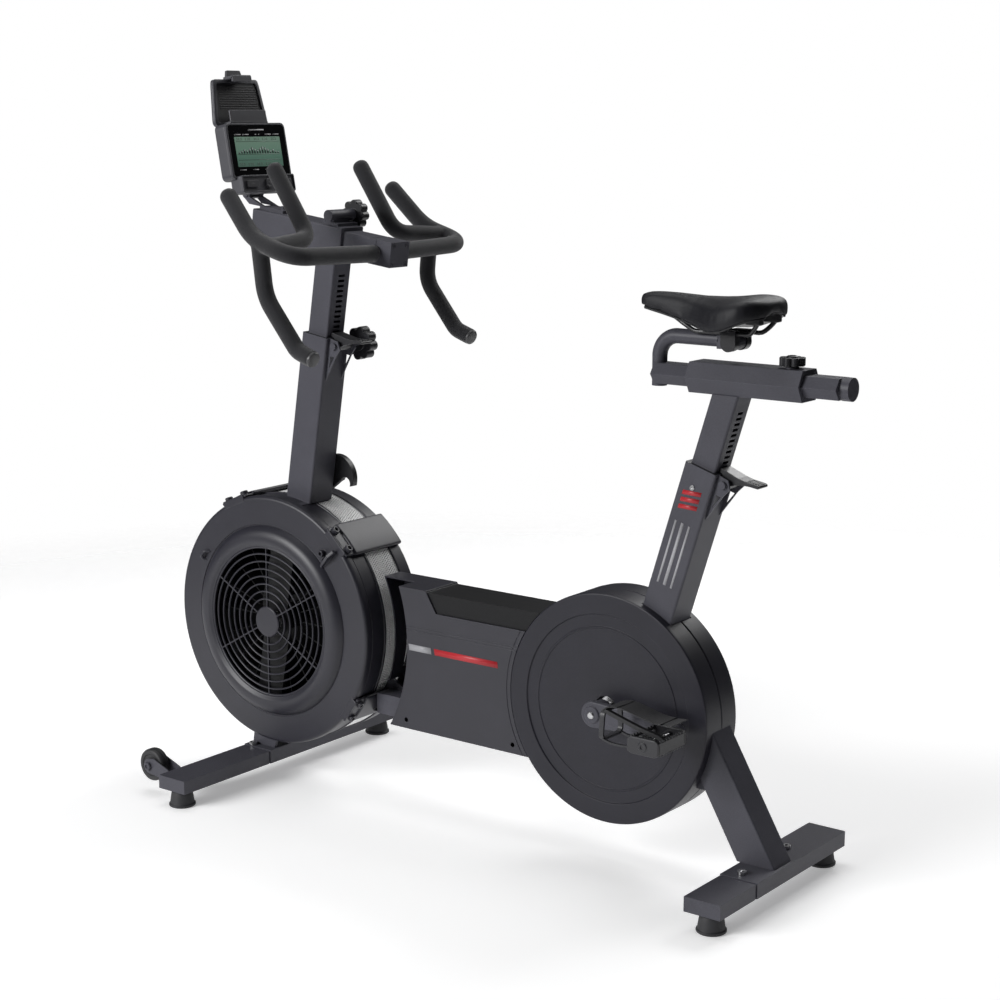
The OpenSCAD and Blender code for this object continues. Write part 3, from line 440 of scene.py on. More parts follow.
def finish(name, colour, rough, metal=0.0, grain=0.5, bump=0.1, mottle=0.08,
           edge=0.9, wear_and_glint=0.25, rough_swing=0.08, sheen=0.0, specular=0.5,
           cells=False, height=None, shade_mask=None):
    """Material with a moulded or sprayed grain, soft edges, and edges lightened in
    patches: partly a little wear, partly a painted highlight.

    grain is the grain's size and edge the edge radius, in millimetres."""
    n = Nodes(name)
    n.put(n.bsdf, Metallic=metal, Specular_IOR_Level=specular)
    if sheen:
        n.put(n.bsdf, Sheen_Weight=sheen, Sheen_Roughness=0.5)
    soft = n.noise(70, 3)
    fine = n.noise(grain * 2.5, 2)
    cloud = n.ramp(soft, [(0.3, scaled(colour, 1 - mottle)),
                          (0.7, scaled(colour, 1 + mottle))])
    speck = n.ramp(fine, [(0.35, grey(0.86)), (0.65, grey(1.0))])
    base = n.mix(1.0, cloud, speck, "MULTIPLY")
    if edge:
        rounded = n.add("Bevel", samples=4, Radius=edge * MM).outputs[0]
    # Edges lightened in patches where the bevel bends the normal: partly rubbed paint,
    # partly a painted highlight
    if edge and wear_and_glint:
        dot = n.add("VectorMath", operation="DOT_PRODUCT")
        n.link(rounded, dot.inputs[0])
        n.link(n.add("NewGeometry").outputs["Normal"], dot.inputs[1])
        away = n.math("SUBTRACT", 1.0, dot.outputs["Value"], clamp=True)
        edge_wear_and_glint = n.math("MULTIPLY", n.math("MULTIPLY", away, 4.0, clamp=True),
                        n.math("MULTIPLY", soft, 2 * wear_and_glint))
        base = n.mix(edge_wear_and_glint, base, scaled(colour, 3.2))
    # Painted shade: near-black wherever the mask is one
    if shade_mask:
        base = n.mix(shade_mask(n), base, FAN_SHADE_BLACK)
    swing = n.add("MapRange", Value=fine, To_Min=max(0.02, rough - rough_swing),
                  To_Max=min(1.0, rough + rough_swing))
    if cells:
        relief = n.add("TexVoronoi", Scale=1000.0 / grain,
                       Vector=n.spot).outputs["Distance"]
    else:
        relief = n.noise(grain, 3, 0.6)
    if height:
        relief = n.math("ADD", relief, height(n))
    lump = n.add("Bump", Strength=bump, Distance=grain * MM, Height=relief)
    if edge:
        n.put(lump, Normal=rounded)
    n.put(n.bsdf, Base_Color=base, Roughness=swing.outputs[0],
          Normal=lump.outputs[0])


CHARCOAL = (0.067, 0.0665, 0.081)
PAINT = dict(grain=0.7, bump=0.16, specular=0.25)
RUBBER = dict(grain=0.8, bump=0.18)
SKIN = dict(edge=0, wear_and_glint=0, cells=True)
PRINT = dict(edge=0, wear_and_glint=0)
finish("powder_coat", CHARCOAL, 0.42, **PAINT)
# Frame paint with painted shade inside the fan housing
finish("fan_shaded_frame", CHARCOAL, 0.42, shade_mask=inside_fan_shade, **PAINT)
finish("cover_plastic", (0.021, 0.0205, 0.029), 0.42, bump=0.12, edge=1.6)
finish("disc_plastic", (0.015, 0.0145, 0.022), 0.42, bump=0.14, edge=0, wear_and_glint=0,
       specular=0.35, height=disc_weave)
finish("dark_plastic", (0.009, 0.009, 0.011), 0.4, grain=0.6, bump=0.12)
# Near-white diffuse steel: partly the strip's own pale colour, partly a painted
# reflection of the bright surround
finish("mesh_steel", grey(0.93), 0.36, grain=0.4, bump=0.06, edge=0, mottle=0.05)
finish("bright_steel", (0.55, 0.55, 0.56), 0.28, metal=1.0, bump=0.05, edge=0.5)
finish("cast_alloy", (0.30, 0.30, 0.31), 0.45, metal=0.9, grain=0.9, bump=0.15)
finish("foot_rubber", (0.022, 0.022, 0.025), 0.6, **RUBBER)
finish("wheel_rubber", (0.020, 0.020, 0.022), 0.55, **RUBBER)
finish("belt_rubber", (0.016, 0.016, 0.017), 0.75, grain=0.8, bump=0.2)
finish("bush_nylon", (0.012, 0.012, 0.014), 0.5)
finish("knob_plastic", (0.015, 0.015, 0.018), 0.36, edge=0.8)
finish("pedal_plastic", (0.022, 0.022, 0.026), 0.42, grain=0.6, bump=0.15)
finish("strap", (0.016, 0.016, 0.018), 0.6, grain=1.0, bump=0.3, edge=0.4)
finish("grip_foam", (0.014, 0.014, 0.017), 0.78, grain=1.1, bump=0.5, mottle=0.12,
       sheen=0.25, specular=0.3, **SKIN)
finish("grip_cap", (0.06, 0.06, 0.063), 0.42)
finish("console_plastic", (0.060, 0.060, 0.070), 0.42, grain=0.45, edge=1.0)
finish("key_rubber", (0.035, 0.035, 0.042), 0.5, grain=0.4)
finish("rail_steel", (0.012, 0.012, 0.014), 0.32, bump=0.08)
finish("saddle_skin", (0.008, 0.008, 0.011), 0.5, grain=1.3, bump=0.25, mottle=0.1,
       specular=0.32, **SKIN)
finish("screen", (0.004, 0.004, 0.005), 0.08, bump=0.0, edge=0.4, wear_and_glint=0,
       mottle=0.02, rough_swing=0.02, specular=0.3)
finish("shadow_black", (0.006, 0.006, 0.007), 0.5, specular=0.25, **PRINT)
finish("lcd_ink", (0.030, 0.062, 0.048), 0.4, grain=0.4, bump=0.0, mottle=0.1,
       **PRINT)
finish("print", (0.42, 0.42, 0.43), 0.5, grain=0.4, bump=0.02, mottle=0.04, **PRINT)
finish("stripe_grey", (0.36, 0.36, 0.38), 0.45, bump=0.03, **PRINT)
finish("stripe_red", (0.46, 0.022, 0.03), 0.42, bump=0.03, **PRINT)

# CAD nodes that stay in view, in another material than their slot's
OTHER_LOOK = {"fan_wheel": "shadow_black", "shroud_insert": "shadow_black",
              "saddle_clamp": "rail_steel", "lower_frame": "fan_shaded_frame",
              "crank_axle": "rail_steel"}
for subpart in frame["record"]["subparts"]:
    name = subpart["node"]
    shown = nodes[name].data.materials
    shown.clear()
    shown.append(mats[OTHER_LOOK.get(name, subpart["material_slot"])])


# ---------- camera, floor and light ----------
AZIMUTH, ELEVATION = 37.28, 11.07
camera_data = bpy.data.cameras.new("camera")
camera_data.lens, camera_data.sensor_width = 71.48, 36.0
camera_data.clip_end = 60.0
camera = new_object("camera", camera_data)
camera.location = (2.2006, -2.8513, 1.3277)
camera.rotation_euler = (math.radians(90 - ELEVATION), 0, math.radians(AZIMUTH))
bpy.context.scene.camera = camera


def area_light(name, spot, aim_height, size, watts):
    """Rectangular light over a spot, aimed at the middle of the bike."""
    data = bpy.data.lights.new(name, "AREA")
    data.shape = "RECTANGLE"
    data.size, data.size_y = size
    data.energy = watts
    lamp = new_object(name, data)
    lamp.location = spot
    aim = Vector((0, 0, aim_height)) - Vector(spot)
    lamp.rotation_euler = aim.to_track_quat("-Z", "Y").to_euler()


area_light("key", (-2.0, -4.6, 2.5), 0.6, (2.4, 2.0), 245)
area_light("top", (-0.6, 0.6, 4.2), 0.4, (3.0, 2.6), 62)
area_light("rim", (0.2, 3.8, 3.3), 0.6, (2.4, 1.8), 85)

# White where the camera looks past the floor, and only a faint fill on the bike
FILL = 0.05
world = bpy.data.worlds.new("studio")
bpy.context.scene.world = world
world.use_nodes = True
sky = world.node_tree
white = sky.nodes["Background"]
white.inputs[0].default_value = (1, 1, 1, 1)
white.inputs[1].default_value = 1.0
fill = sky.nodes.new("ShaderNodeBackground")
fill.inputs[0].default_value = (0.97, 0.98, 1.0, 1)
fill.inputs[1].default_value = FILL
path = sky.nodes.new("ShaderNodeLightPath")
blend = sky.nodes.new("ShaderNodeMixShader")
for i, output in enumerate((path.outputs["Is Camera Ray"], fill.outputs[0],
                            white.outputs[0])):
    sky.links.new(output, blend.inputs[i])
sky.links.new(blend.outputs[0], sky.nodes["World Output"].inputs[0])
bpy.context.scene.view_settings.view_transform = "Standard"
bpy.context.scene.view_settings.look = "None"


# Distances in metres over which the floor fades out, and its own light
FADE_START, FADE_END, FLOOR_GLOW = 1.5, 3.0, 0.31


def floor_piece():
    """Pale paper floor, which thins out into the white surround."""
    shape = Shape()
    shape.lathe([(0, -0.3), (3400, -0.3), (3400, -4), (0, -4)], "Z", 96, (40, 0))
    obj = new_object("floor", shape.mesh("floor"))
    n = Nodes("floor")
    tone = n.ramp(n.noise(900, 2), [(0.3, (0.93, 0.93, 0.935)), (0.7, grey(0.95))])
    away = n.add("VectorMath", operation="LENGTH", Vector=n.spot)
    fade = n.add("MapRange", Value=away.outputs["Value"], From_Min=FADE_START,
                 From_Max=FADE_END, To_Min=1.0, To_Max=0.0)
    n.put(n.bsdf, Base_Color=tone, Roughness=0.7, Specular_IOR_Level=0.2,
          Emission_Color=grey(1.0), Emission_Strength=FLOOR_GLOW,
          Alpha=fade.outputs[0])
    obj.data.materials.append(mats["floor"])


floor_piece()


# ---------- grips ----------
def bent(points, bends):
    """Centreline with each inner corner turned on its own bend radius."""
    pts, out = [Vector(p) for p in points], [Vector(points[0])]
    for i in range(1, len(pts) - 1):
        corner = fillet([pts[i - 1], pts[i], pts[i + 1]], bends[i - 1], 10, False)
        out += corner[1:-1]
    out.append(pts[-1])
    dense = [out[0]]
    for q in out[1:]:
        steps = max(1, int((q - dense[-1]).length / 8))
        start = dense[-1]
        dense += [start.lerp(q, (k + 1) / steps) for k in range(steps)]
    return dense


def applied(obj):
    """Mesh of an object with its modifiers, in a clean data block."""
    graph = bpy.context.evaluated_depsgraph_get()
    return bpy.data.meshes.new_from_object(obj.evaluated_get(graph))


def finished(obj):
    """As applied, for a work object that goes once its mesh is made."""
    data = applied(obj)
    bpy.data.objects.remove(obj)
    return data


def remeshed(data, voxel, smooth_steps):
    """One closed skin over overlapping bodies, softened where they meet."""
    obj = new_object("work", data)
    skin = obj.modifiers.new("skin", "REMESH")
    skin.mode = "VOXEL"
    skin.voxel_size = voxel * MM
    ease = obj.modifiers.new("ease", "SMOOTH")
    ease.factor, ease.iterations = 0.5, smooth_steps
    return finished(obj)


FOAM_R = 16.6
GRIP_BEND, GRIP_END = Vector((-254.6, 230, 903)), Vector((-217.2, 230, 890))


def handlebar_foam():
    """Foam on the cross bar, outer horns, inner horns and drops."""
    shape = Shape()
    main = bent([(-243, 28.2, 1067.4), (-249.6, 250, 1072), (-347.6, 244, 1103),
                 (-417.6, 231, 1175)], [52, 120])
    horn = bent([(-300.6, 247, 1088), (-320.6, 122, 1096), (-404.6, 121.5, 1220)],
                [38])
    drop = bent([(-330.6, 244, 1097), (-330.6, 231, 996), GRIP_BEND, GRIP_END],
                [70, 36])
    for line, size in ((main, FOAM_R), (horn, FOAM_R - 0.4)):
        shape.tube(line, size, 20)
        start = shape.mark()
        shape.lathe([(0, 11), (6, 10.4), (11.4, 8), (15, 3.4), (size, -2),
                     (size, -14), (0, -14)], "Z", 20)
        way = (line[-1] - line[-2]).normalized()
        shape.turned(aimed(line[-1] + way * 3, way), start)
    shape.tube(drop, FOAM_R - 0.6, 20)
    shape.mirrored()
    data = remeshed(shape.mesh("foam"), 2.2, 8)
    finish_piece(data, "grip_foam", "bar_reach", "grip_foam", ["handlebar_foam"],
                 sharp=0)


handlebar_foam()

caps = Shape()
way = (GRIP_END - GRIP_BEND).normalized()
caps.lathe([(0, 4.2), (9, 4.2), (13.2, 3.4), (15, 1.2), (15.2, -3), (0, -3)], "Z", 32)
caps.turned(aimed(GRIP_END + way * 0.6, way))
caps.mirrored()
caps.piece("grip_caps", "bar_reach", "grip_cap", ["bar_end_caps"])


# ---------- knobs ----------
def knob(name, frame_matrix, axis, at, lift, radius, height, body):
    """Eight-lobed hand knob with a dished top and a moulded hub.

    Its body and the CAD node it replaces have the same name."""
    outline = []
    for k in range(128):
        t = 2 * math.pi * k / 128
        r = radius * (0.79 + 0.21 * abs(math.cos(4 * t)) ** 0.75)
        outline.append((at[0] + r * math.cos(t), at[1] + r * math.sin(t)))
    shape = Shape(frame_matrix)
    shape.prism(outline, lift, lift + height * 0.82, axis, 2.4, 3)
    hub = radius * 0.44
    shape.lathe([(0, -1), (hub, -1), (hub, height * 0.9), (hub - 2, height * 0.985),
                 (hub * 0.6, height), (hub * 0.5, height * 0.93), (0, height * 0.93)],
                axis, 40, at, lift)
    shape.piece(name, body, "knob_plastic", [body])


knob("reach_star", BEAM, "Y", (6, 48), 36, 28, 22, "reach_knob")
knob("post_star", POST, "Y", (45, 158), 46, 33, 26, "post_knob")
knob("seat_star", WORLD, "Z", (629.4, 0), 920.9, 22, 17, "seat_knob")


# ---------- levers ----------
def lever(name, frame_matrix, collar, body):
    """Pop lever behind a post: barrel on its pin and a ribbed thumb plate."""
    shape = Shape(frame_matrix)
    x, z = 45, collar - 13
    shape.lathe([(4.2, -20), (8, -20), (9, -18.5), (9, 18.5), (8, 20), (4.2, 20)],
                "Y", 32, (x, z))
    top = [(-6, 6), (-12, 14.5), (-19, 15), (-19, 23), (0, 21.2), (18, 19.4),
           (34, 19.6), (48, 21.6), (58, 22.6), (61, 20), (60, 16.8), (44, 14.4),
           (30, 11), (16, 5.4), (6, -2)]
    outline = fillet([(x + a, z + b) for a, b in top], 3, 3)
    shape.prism(outline, -15, 15, "Y", 1.6, 3)
    for k in range(4):
        shape.box((x + 40 + k * 5, -11, z + 19.6 + k * 0.7),
                  (x + 42.2 + k * 5, 11, z + 21.4 + k * 0.8), 0.7)
    shape.piece(name, body, "knob_plastic", [body])


lever("post_pop_lever", POST, 171, "post_lever")
lever("seat_pop_lever", SEAT, 152, "seat_lever")


# ---------- feet and transport wheels ----------
feet = Shape()
for foot_x, foot_y in ((-527.6, 290.5), (612.4, 189.3)):
    feet.lathe([(0, 0), (24.4, 0), (25.8, 1.2), (26, 3), (25.8, 5), (24.2, 6),
                (23.6, 7.2), (21.6, 21), (20.4, 27.6), (19, 29.6), (12, 30),
                (9.2, 30.2), (9, 33), (0, 33)], "Z", 56, (foot_x, foot_y))
feet.mirrored()
feet.piece("cone_feet", "frame", "foot_rubber", ["levelling_feet"])


def transport_wheel(side):
    """Rubber wheel with two treads and a hub."""
    shape = Shape()
    half = [(5.2, 259), (9, 258.2), (10, 259), (10.5, 261.5), (21, 261.5),
            (22.5, 259.6), (25, 259), (29, 259.6), (31.2, 261.4), (32.3, 264.4),
            (32.5, 267.5), (31.6, 268.4)]
    rest = [(r, 541 - y) for r, y in reversed(half)]
    shape.lathe(half + rest, "Y", 72, (WHEEL_X, WHEEL_Z))
    if side == "left":
        shape.mirrored(False)
    shape.piece("roller_" + side, side + "_wheel", "wheel_rubber",
                ["transport_wheel_" + side])


transport_wheel("left")
transport_wheel("right")

forks = Shape()
cheek = fillet([(-567, 37), (-567, 59), (-610.1, 75), (-632.1, 71), (-639.1, 58),
                (-630.1, 44)], 7, 4)
for y in (253.5, 284.5):
    forks.prism(cheek, y, y + 3, "Y", 0.9)
for y0, y1 in ((287.5, 293), (249.5, 253.5)):
    forks.lathe([(0, y0), (8, y0), (9, y0 + 1), (9, y1 - 1.4), (7.6, y1), (4.4, y1),
                 (4.2, y1 - 2), (0, y1 - 2)], "Y", 6, (WHEEL_X, WHEEL_Z))
forks.lathe([(0, 253), (4.6, 253), (4.6, 288), (0, 288)], "Y", 24,
            (WHEEL_X, WHEEL_Z))
forks.mirrored()
forks.piece("roller_forks", "frame", "powder_coat", ["wheel_forks"])


# ---------- fan housing ----------
def fan_shell(side, lip):
    """Turned shell: rounded rim, flat ring, raised intake ring and inner wall."""
    outline = [(250.2, lip), (251.6, lip + 1), (251.6, lip + 5), (249.8, lip + 5.6)]
    if side == "left":
        outline += [(249.8, 50), (248.2, 50.6), (248.2, 52.2), (251.4, 52.8)]
    else:
        outline += [(249.8, 60), (251.4, 60.6)]
    outline.append((251.7, 61))
    outline += fillet([(251.7, 56), (250.6, 71), (226, 71.3)], 13, 9, False)[1:-1]
    outline += [(226, 71.4), (215, 71.9), (197, 72.6), (195.6, 72.3), (195.1, 70.6),
                (192.9, 70.6), (192.4, 72.4), (190.8, 74.4), (187.5, 79.4),
                (183, 83.4), (177, 86.2), (170, 87.7), (163, 87.6), (158.6, 86.2),
                (156.2, 84), (154.4, 83.6), (152.7, 82.6), (152.6, 76),
                (154.6, 75.4), (159, 80), (172, 81), (184, 74), (188, 68),
                (236, 66), (247, 60), (247, lip)]
    if side == "right":
        outline = [(r, y if y <= lip + 6 else y + FAR_Y) for r, y in outline]
    shape = Shape(FAN)
    shape.lathe(outline, "Y", 144)
    if side == "left":
        # Catch fin and its stub on the face
        start = shape.mark()
        fin = fillet([(184, 0), (243, 5), (245, 13), (228, 19), (196, 10)], 2.5, 3)
        shape.prism([(a, b + 69) for a, b in fin], -3, 3, "Z", 1.2)
        shape.turned(about_y(-43), start)
        start = shape.mark()
        shape.lathe([(0, 66), (6.5, 66), (7, 79), (6, 81.5), (3.6, 81.5), (3.2, 77),
                     (0, 77)], "Y", 24, (213, 17))
        shape.box((200, 66, 8), (214, 76, 14), 1.2)
        shape.turned(about_y(-43), start)
        start = shape.mark()
        shape.tube(smooth_path([(205, 72, -13), (212, 78, -8), (214, 80, 2),
                                (210, 76, 9), (205, 71, 8)], 2), 3.4, 10, dome=True)
        shape.turned(about_y(-148), start)
        shape.mirrored(False)
    shape.piece("housing_" + side, "frame", "cover_plastic", ["fan_shell_" + side])


fan_shell("left", 11)
fan_shell("right", 58)


def intake_grille(out):
    """Right intake's hub, rings, rim and spokes, moved out by out."""
    grille = Shape(FAN)
    grille.lathe([(0, 84 + out), (24, 84.2 + out), (29, 83.8 + out),
                  (31, 82.2 + out), (31.2, 79 + out), (29, 77.6 + out),
                  (0, 77.6 + out)], "Y", 64)
    pitch = (152.5 - 31) / 8
    bead = [(-1.9, 79.6), (-1.5, 82.4), (0, 83.4), (1.5, 82.4), (1.9, 79.6),
            (0, 78.8)]
    for k in range(1, 8):
        grille.lathe([(31 + k * pitch + r, y + out) for r, y in bead], "Y", 96)
    rim = [(148, 78.6), (148.6, 81.6), (150.6, 82.6), (152.5, 82), (152.5, 77),
           (149, 77)]
    grille.lathe([(r, y + out) for r, y in rim], "Y", 120)
    for k in range(6):
        start = grille.mark()
        grille.box((29, 77.4 + out, -1.3), (151, 82.4 + out, 1.3), 0.6)
        grille.turned(about_y(30 + 60 * k), start)
    return grille


grilles = intake_grille(0).mirrored(False).pour(intake_grille(FAR_Y).bm)
grilles.piece("intake_grilles", "frame", "dark_plastic", ["fan_grilles"],
              "cover_plastic")


def perforated_band():
    """Steel strip round the fan with staggered holes, each one cell of it."""
    r, across, around = 248.2, 14, 312
    y0, y1 = -11.0, 58.0
    row_h = (y1 - y0) / across
    step = 2 * math.pi / around
    hole = 1.65
    verts, faces, index = [], [], {}

    def spot(angle, y):
        verts.append((r * math.cos(angle), y, r * math.sin(angle)))
        return len(verts) - 1

    def vert(row, half, dy, da):
        """Vertex shared between neighbouring cells."""
        key = (round((row + dy) * 2), round((half + da)) % (2 * around))
        if key not in index:
            index[key] = spot((half + da) * step / 2, y0 + (row + dy) * row_h)
        return index[key]

    for row in range(across):
        for col in range(around):
            half = 2 * col + (row % 2) + 1
            rim = [spot(half * step / 2 + hole * math.cos(math.pi / 4 * k) / r,
                        y0 + (row + 0.5) * row_h + hole * math.sin(math.pi / 4 * k))
                   for k in range(8)]
            side_r = [vert(row, half, 0, 1), vert(row, half, 1, 1)]
            side_l = [vert(row, half, 1, -1), vert(row, half, 0, -1)]
            top, low = vert(row, half, 1, 0), vert(row, half, 0, 0)
            faces += [(side_r[0], side_r[1], rim[1], rim[0], rim[7]),
                      (side_r[1], top, rim[2], rim[1]),
                      (top, side_l[0], rim[3], rim[2]),
                      (side_l[0], side_l[1], rim[5], rim[4], rim[3]),
                      (side_l[1], low, rim[6], rim[5]),
                      (low, side_r[0], rim[7], rim[6])]
    data = bpy.data.meshes.new("band")
    data.from_pydata(verts, [], faces)
    data.transform(FAN)
    obj = new_object("band_work", data)
    thick = obj.modifiers.new("thick", "SOLIDIFY")
    thick.thickness, thick.offset = 1.1 * MM, 0
    finish_piece(finished(obj), "mesh_strip", "frame", "mesh_steel", ["mesh_band"],
                 sharp=40)


perforated_band()


def band_clip(angle, span):
    """Moulded bridge over the perforated strip, screwed to the left shell."""
    shape = Shape(FAN)
    half = span / 2 / 252
    arc, count = [], 10
    for r, flip in ((261.5, 1), (251.9, -1)):
        for k in range(count + 1):
            a = half * (2 * k / count - 1) * flip
            arc.append((r * math.cos(a), r * math.sin(a)))
    shape.prism(arc, -46, 70 + FAR_Y, "Y", 4.0, 4)
    shape.prism([(a * 0.985 if i <= count else a, b * 0.94)
                 for i, (a, b) in enumerate(arc)], -68.5, -44, "Y", 3.0, 3)
    for y in (66.5 + FAR_Y, -71.5):
        shape.box((241, y, -span / 2 + 7), (257, y + 5.4, span / 2 - 7), 2.0, 3)
    for z in (-span / 2 + 14, span / 2 - 14):
        shape.lathe([(0, 252), (7.5, 252), (8, 262), (6.6, 263.6), (4.2, 263.4),
                     (3.8, 258), (0, 258)], "X", 24, (-57, z))
    shape.turned(about_y(-angle))
    return shape


clips = band_clip(46, 74)
for angle, span in ((113, 74), (-36, 66)):
    clips.pour(band_clip(angle, span).bm)
clips.piece("band_clips", "frame", "cover_plastic", ["band_brackets"])


# ---------- crank cover ----------
def crank_cover(side):
    """Half of the round cover: flat disc with a thin ring groove and a rim."""
    outline = [(24, 47.2), (40, 47), (145.6, 47), (146.4, 47.4), (147, 48.4),
               (149.4, 48.4), (150, 47.4), (150.8, 47), (170.6, 47), (171.6, 47.6),
               (172.6, 49.6), (174, 50.2), (200, 50.2), (205, 49.8)]
    outline += fillet([(204, 50), (209.6, 49.6), (210.1, 42)], 4, 5, False)[1:-1]
    outline += [(210.1, 42), (210.1, 2.4), (209, 0.8), (207.6, 0.1), (206, 0.1),
                (206, 44), (24, 44)]
    shape = Shape(CRANK)
    shape.lathe(outline, "Y", 160)
    if side == "left":
        shape.lathe([(0, 48), (5.4, 48), (5.8, 50.4), (4.8, 51.2), (2.6, 51.2),
                     (2.4, 49.4), (0, 49.4)], "Y", 24, (187.7, -33.1))
        shape.mirrored(False)
    # Way through the rim for the seat tube
    slot = Shape(SEAT)
    slot.box((-33.5, -34.5, -275), (33.5, 34.5, -60), 0.5)
    tool = new_object("slot", slot.mesh("slot"))
    cover = new_object("cover_work", shape.mesh("cover"))
    cut = cover.modifiers.new("cut", "BOOLEAN")
    cut.operation, cut.solver, cut.object = "DIFFERENCE", "EXACT", tool
    data = finished(cover)
    bpy.data.objects.remove(tool)
    finish_piece(data, "round_cover_" + side, "frame", "cover_plastic",
                 ["disc_cover_" + side], "disc_plastic")


crank_cover("left")
crank_cover("right")


# ---------- saddle ----------
# Stations along X, each with its half width, top and drop of the skirt
SADDLE = [
    (339, 11, 1019, 15), (343, 18, 1023.5, 22), (352, 23, 1026.5, 26),
    (368, 26, 1027.6, 30), (390, 28.5, 1027.6, 34), (412, 31, 1027, 38),
    (434, 34, 1026, 42), (456, 40, 1025, 46), (476, 50, 1024.6, 50),
    (494, 62, 1024.8, 53), (512, 72, 1025.8, 54), (530, 78.5, 1027.8, 53),
    (548, 81.5, 1030.4, 49), (564, 80, 1032.2, 44), (576, 73, 1032, 39),
    (586, 60, 1030, 35), (593, 42, 1026.6, 30), (597, 22, 1021, 20),
]
SADDLE_RING = [(0.0, 0.0), (0.3, 0.006), (0.58, 0.03), (0.78, 0.09), (0.91, 0.20),
               (0.98, 0.38), (1.0, 0.62), (0.99, 0.86), (0.94, 1.0), (0.80, 0.97),
               (0.6, 0.80), (0.3, 0.72), (0.0, 0.70)]


def saddle_rings(shrink):
    """Outline of the saddle at each station, pulled in by shrink millimetres."""
    rings = []
    for x, half, top, drop in SADDLE:
        w, h = half - shrink, drop - shrink
        right = [(x, w * a, top - shrink - h * b) for a, b in SADDLE_RING]
        left = [(x, -y, z) for _, y, z in reversed(right[1:-1])]
        rings.append(right + left)
    return rings


def lofted(shape, rings):
    """Skin over rings of equal length, closed at both ends."""
    n = len(rings[0])
    ends = [tuple(range(n)), tuple(range((len(rings) - 1) * n, len(rings) * n))]
    return shape.take([p for ring in rings for p in ring],
                      ends + skin_faces(n, len(rings)))


def plumped(obj, pressure, cap, frames, pinned):
    """Runs cloth with inner pressure and keeps its result within a cap."""
    rest = [v.co.copy() for v in obj.data.vertices]
    group = obj.vertex_groups.new(name="pinned")
    group.add([i for i, v in enumerate(rest) if pinned(v)], 1.0, "REPLACE")
    cloth = obj.modifiers.new("cloth", "CLOTH")
    setting = cloth.settings
    setting.quality = 6
    setting.mass = 0.3
    setting.tension_stiffness = setting.compression_stiffness = 15
    setting.shear_stiffness = 10
    setting.bending_stiffness = 2.0
    setting.use_pressure = True
    setting.uniform_pressure_force = pressure
    setting.vertex_group_mass = "pinned"
    setting.effector_weights.gravity = 0
    cloth.point_cache.frame_start, cloth.point_cache.frame_end = 1, frames
    scene = bpy.context.scene
    for step in range(1, frames + 1):
        scene.frame_set(step)
        bpy.context.view_layer.update()
    moved = applied(obj)
    for v, start in zip(moved.vertices, rest):
        shift = v.co - start
        if shift.length > cap:
            v.co = start + shift.normalized() * cap
    obj.modifiers.clear()
    scene.frame_set(1)
    return moved


def saddle():
    """Padded cover, cut a little small and swelled by cloth simulation."""
    pad = lofted(Shape(), saddle_rings(1.6))
    data = remeshed(pad.mesh("pad"), 4.4, 4)
    obj = new_object("pad_work", data)
    data = plumped(obj, 4.0, 2.6 * MM, 20, lambda p: p.z < 0.985)
    obj.data = data
    obj.modifiers.clear()
    finer = obj.modifiers.new("finer", "SUBSURF")
    finer.levels = finer.render_levels = 1
    piece = finish_piece(finished(obj), "saddle_pad", "saddle", "saddle_skin",
                         ["saddle"], sharp=0)


saddle()

# Moulded base under the pad
shell = Shape()
rings = []
for x, half, top, drop in SADDLE[2:-1]:
    z, w = top - drop, half * 0.88 - 1
    ring = [(x, w, z + 1.5), (x, w - 1.5, z - 1.2), (x, w * 0.72, z + 3),
            (x, w * 0.36, z + 6), (x, 0, z + 7)]
    ring += [(x, -y, zz) for _, y, zz in reversed(ring[:-1])]
    ring += [(x, -w * 0.6, z + 13), (x, 0, z + 16), (x, w * 0.6, z + 13)]
    rings.append(ring)
lofted(shell, rings)
for side in (-1, 1):
    shell.box((560, side * 30 - 8, 986), (588, side * 30 + 8, 1002), 3)
    shell.box((410, side * 13 - 7, 985), (430, side * 13 + 7, 996), 3)
shell.piece("saddle_base", "saddle", "dark_plastic")

rails = Shape()
rails.tube(smooth_path([(414, 13, 987), (436, 16.5, 976), (454, 20, 968.6),
                        (470, 20, 968), (516, 20, 968), (546, 20, 968),
                        (560, 21, 968.8), (572, 26, 979), (582, 30, 992)], 5),
           4, 14, dome=True)
rails.mirrored()
rails.piece("saddle_wires", "saddle", "rail_steel", ["saddle_rails"])


# ---------- console ----------
def rounded_box(half_w, lo, hi, radius, steps=6):
    """Outline in Y and Z with round corners."""
    return fillet(both_sides([(half_w, lo), (half_w, hi)]), radius, steps)


def ring_frame(shape, outer, inner, lo, hi, lip=1.0):
    """Frame between two matching outlines, along X."""
    rows = [[(lo, *p) for p in outer], [(hi - lip, *p) for p in outer]]
    mid = [(a[0] * 0.75 + b[0] * 0.25, a[1] * 0.75 + b[1] * 0.25)
           for a, b in zip(outer, inner)]
    rows += [[(hi, *p) for p in mid], [(hi, *p) for p in inner],
             [(lo, *p) for p in inner]]
    return shape.take([p for row in rows for p in row],
                      skin_faces(len(outer), len(rows), True))


case = Shape(CONSOLE)
outer, inner = rounded_box(82, 0, 110, 12), rounded_box(77.6, 4.6, 106, 9)
case.prism(outer, -32, -3, "X", 3.2, 4)
ring_frame(case, outer, inner, -3.4, 0.0)
case.prism(rounded_box(66, 13, 75, 7), -44, -31, "X", 3, 3)
case.prism(rounded_box(50, 22, 66, 6), -47, -43, "X", 1.5)
for k in range(6):
    case.prism(rounded_box(34, 30 + k * 5.4, 32.4 + k * 5.4, 1.1), -48, -46.6, "X")
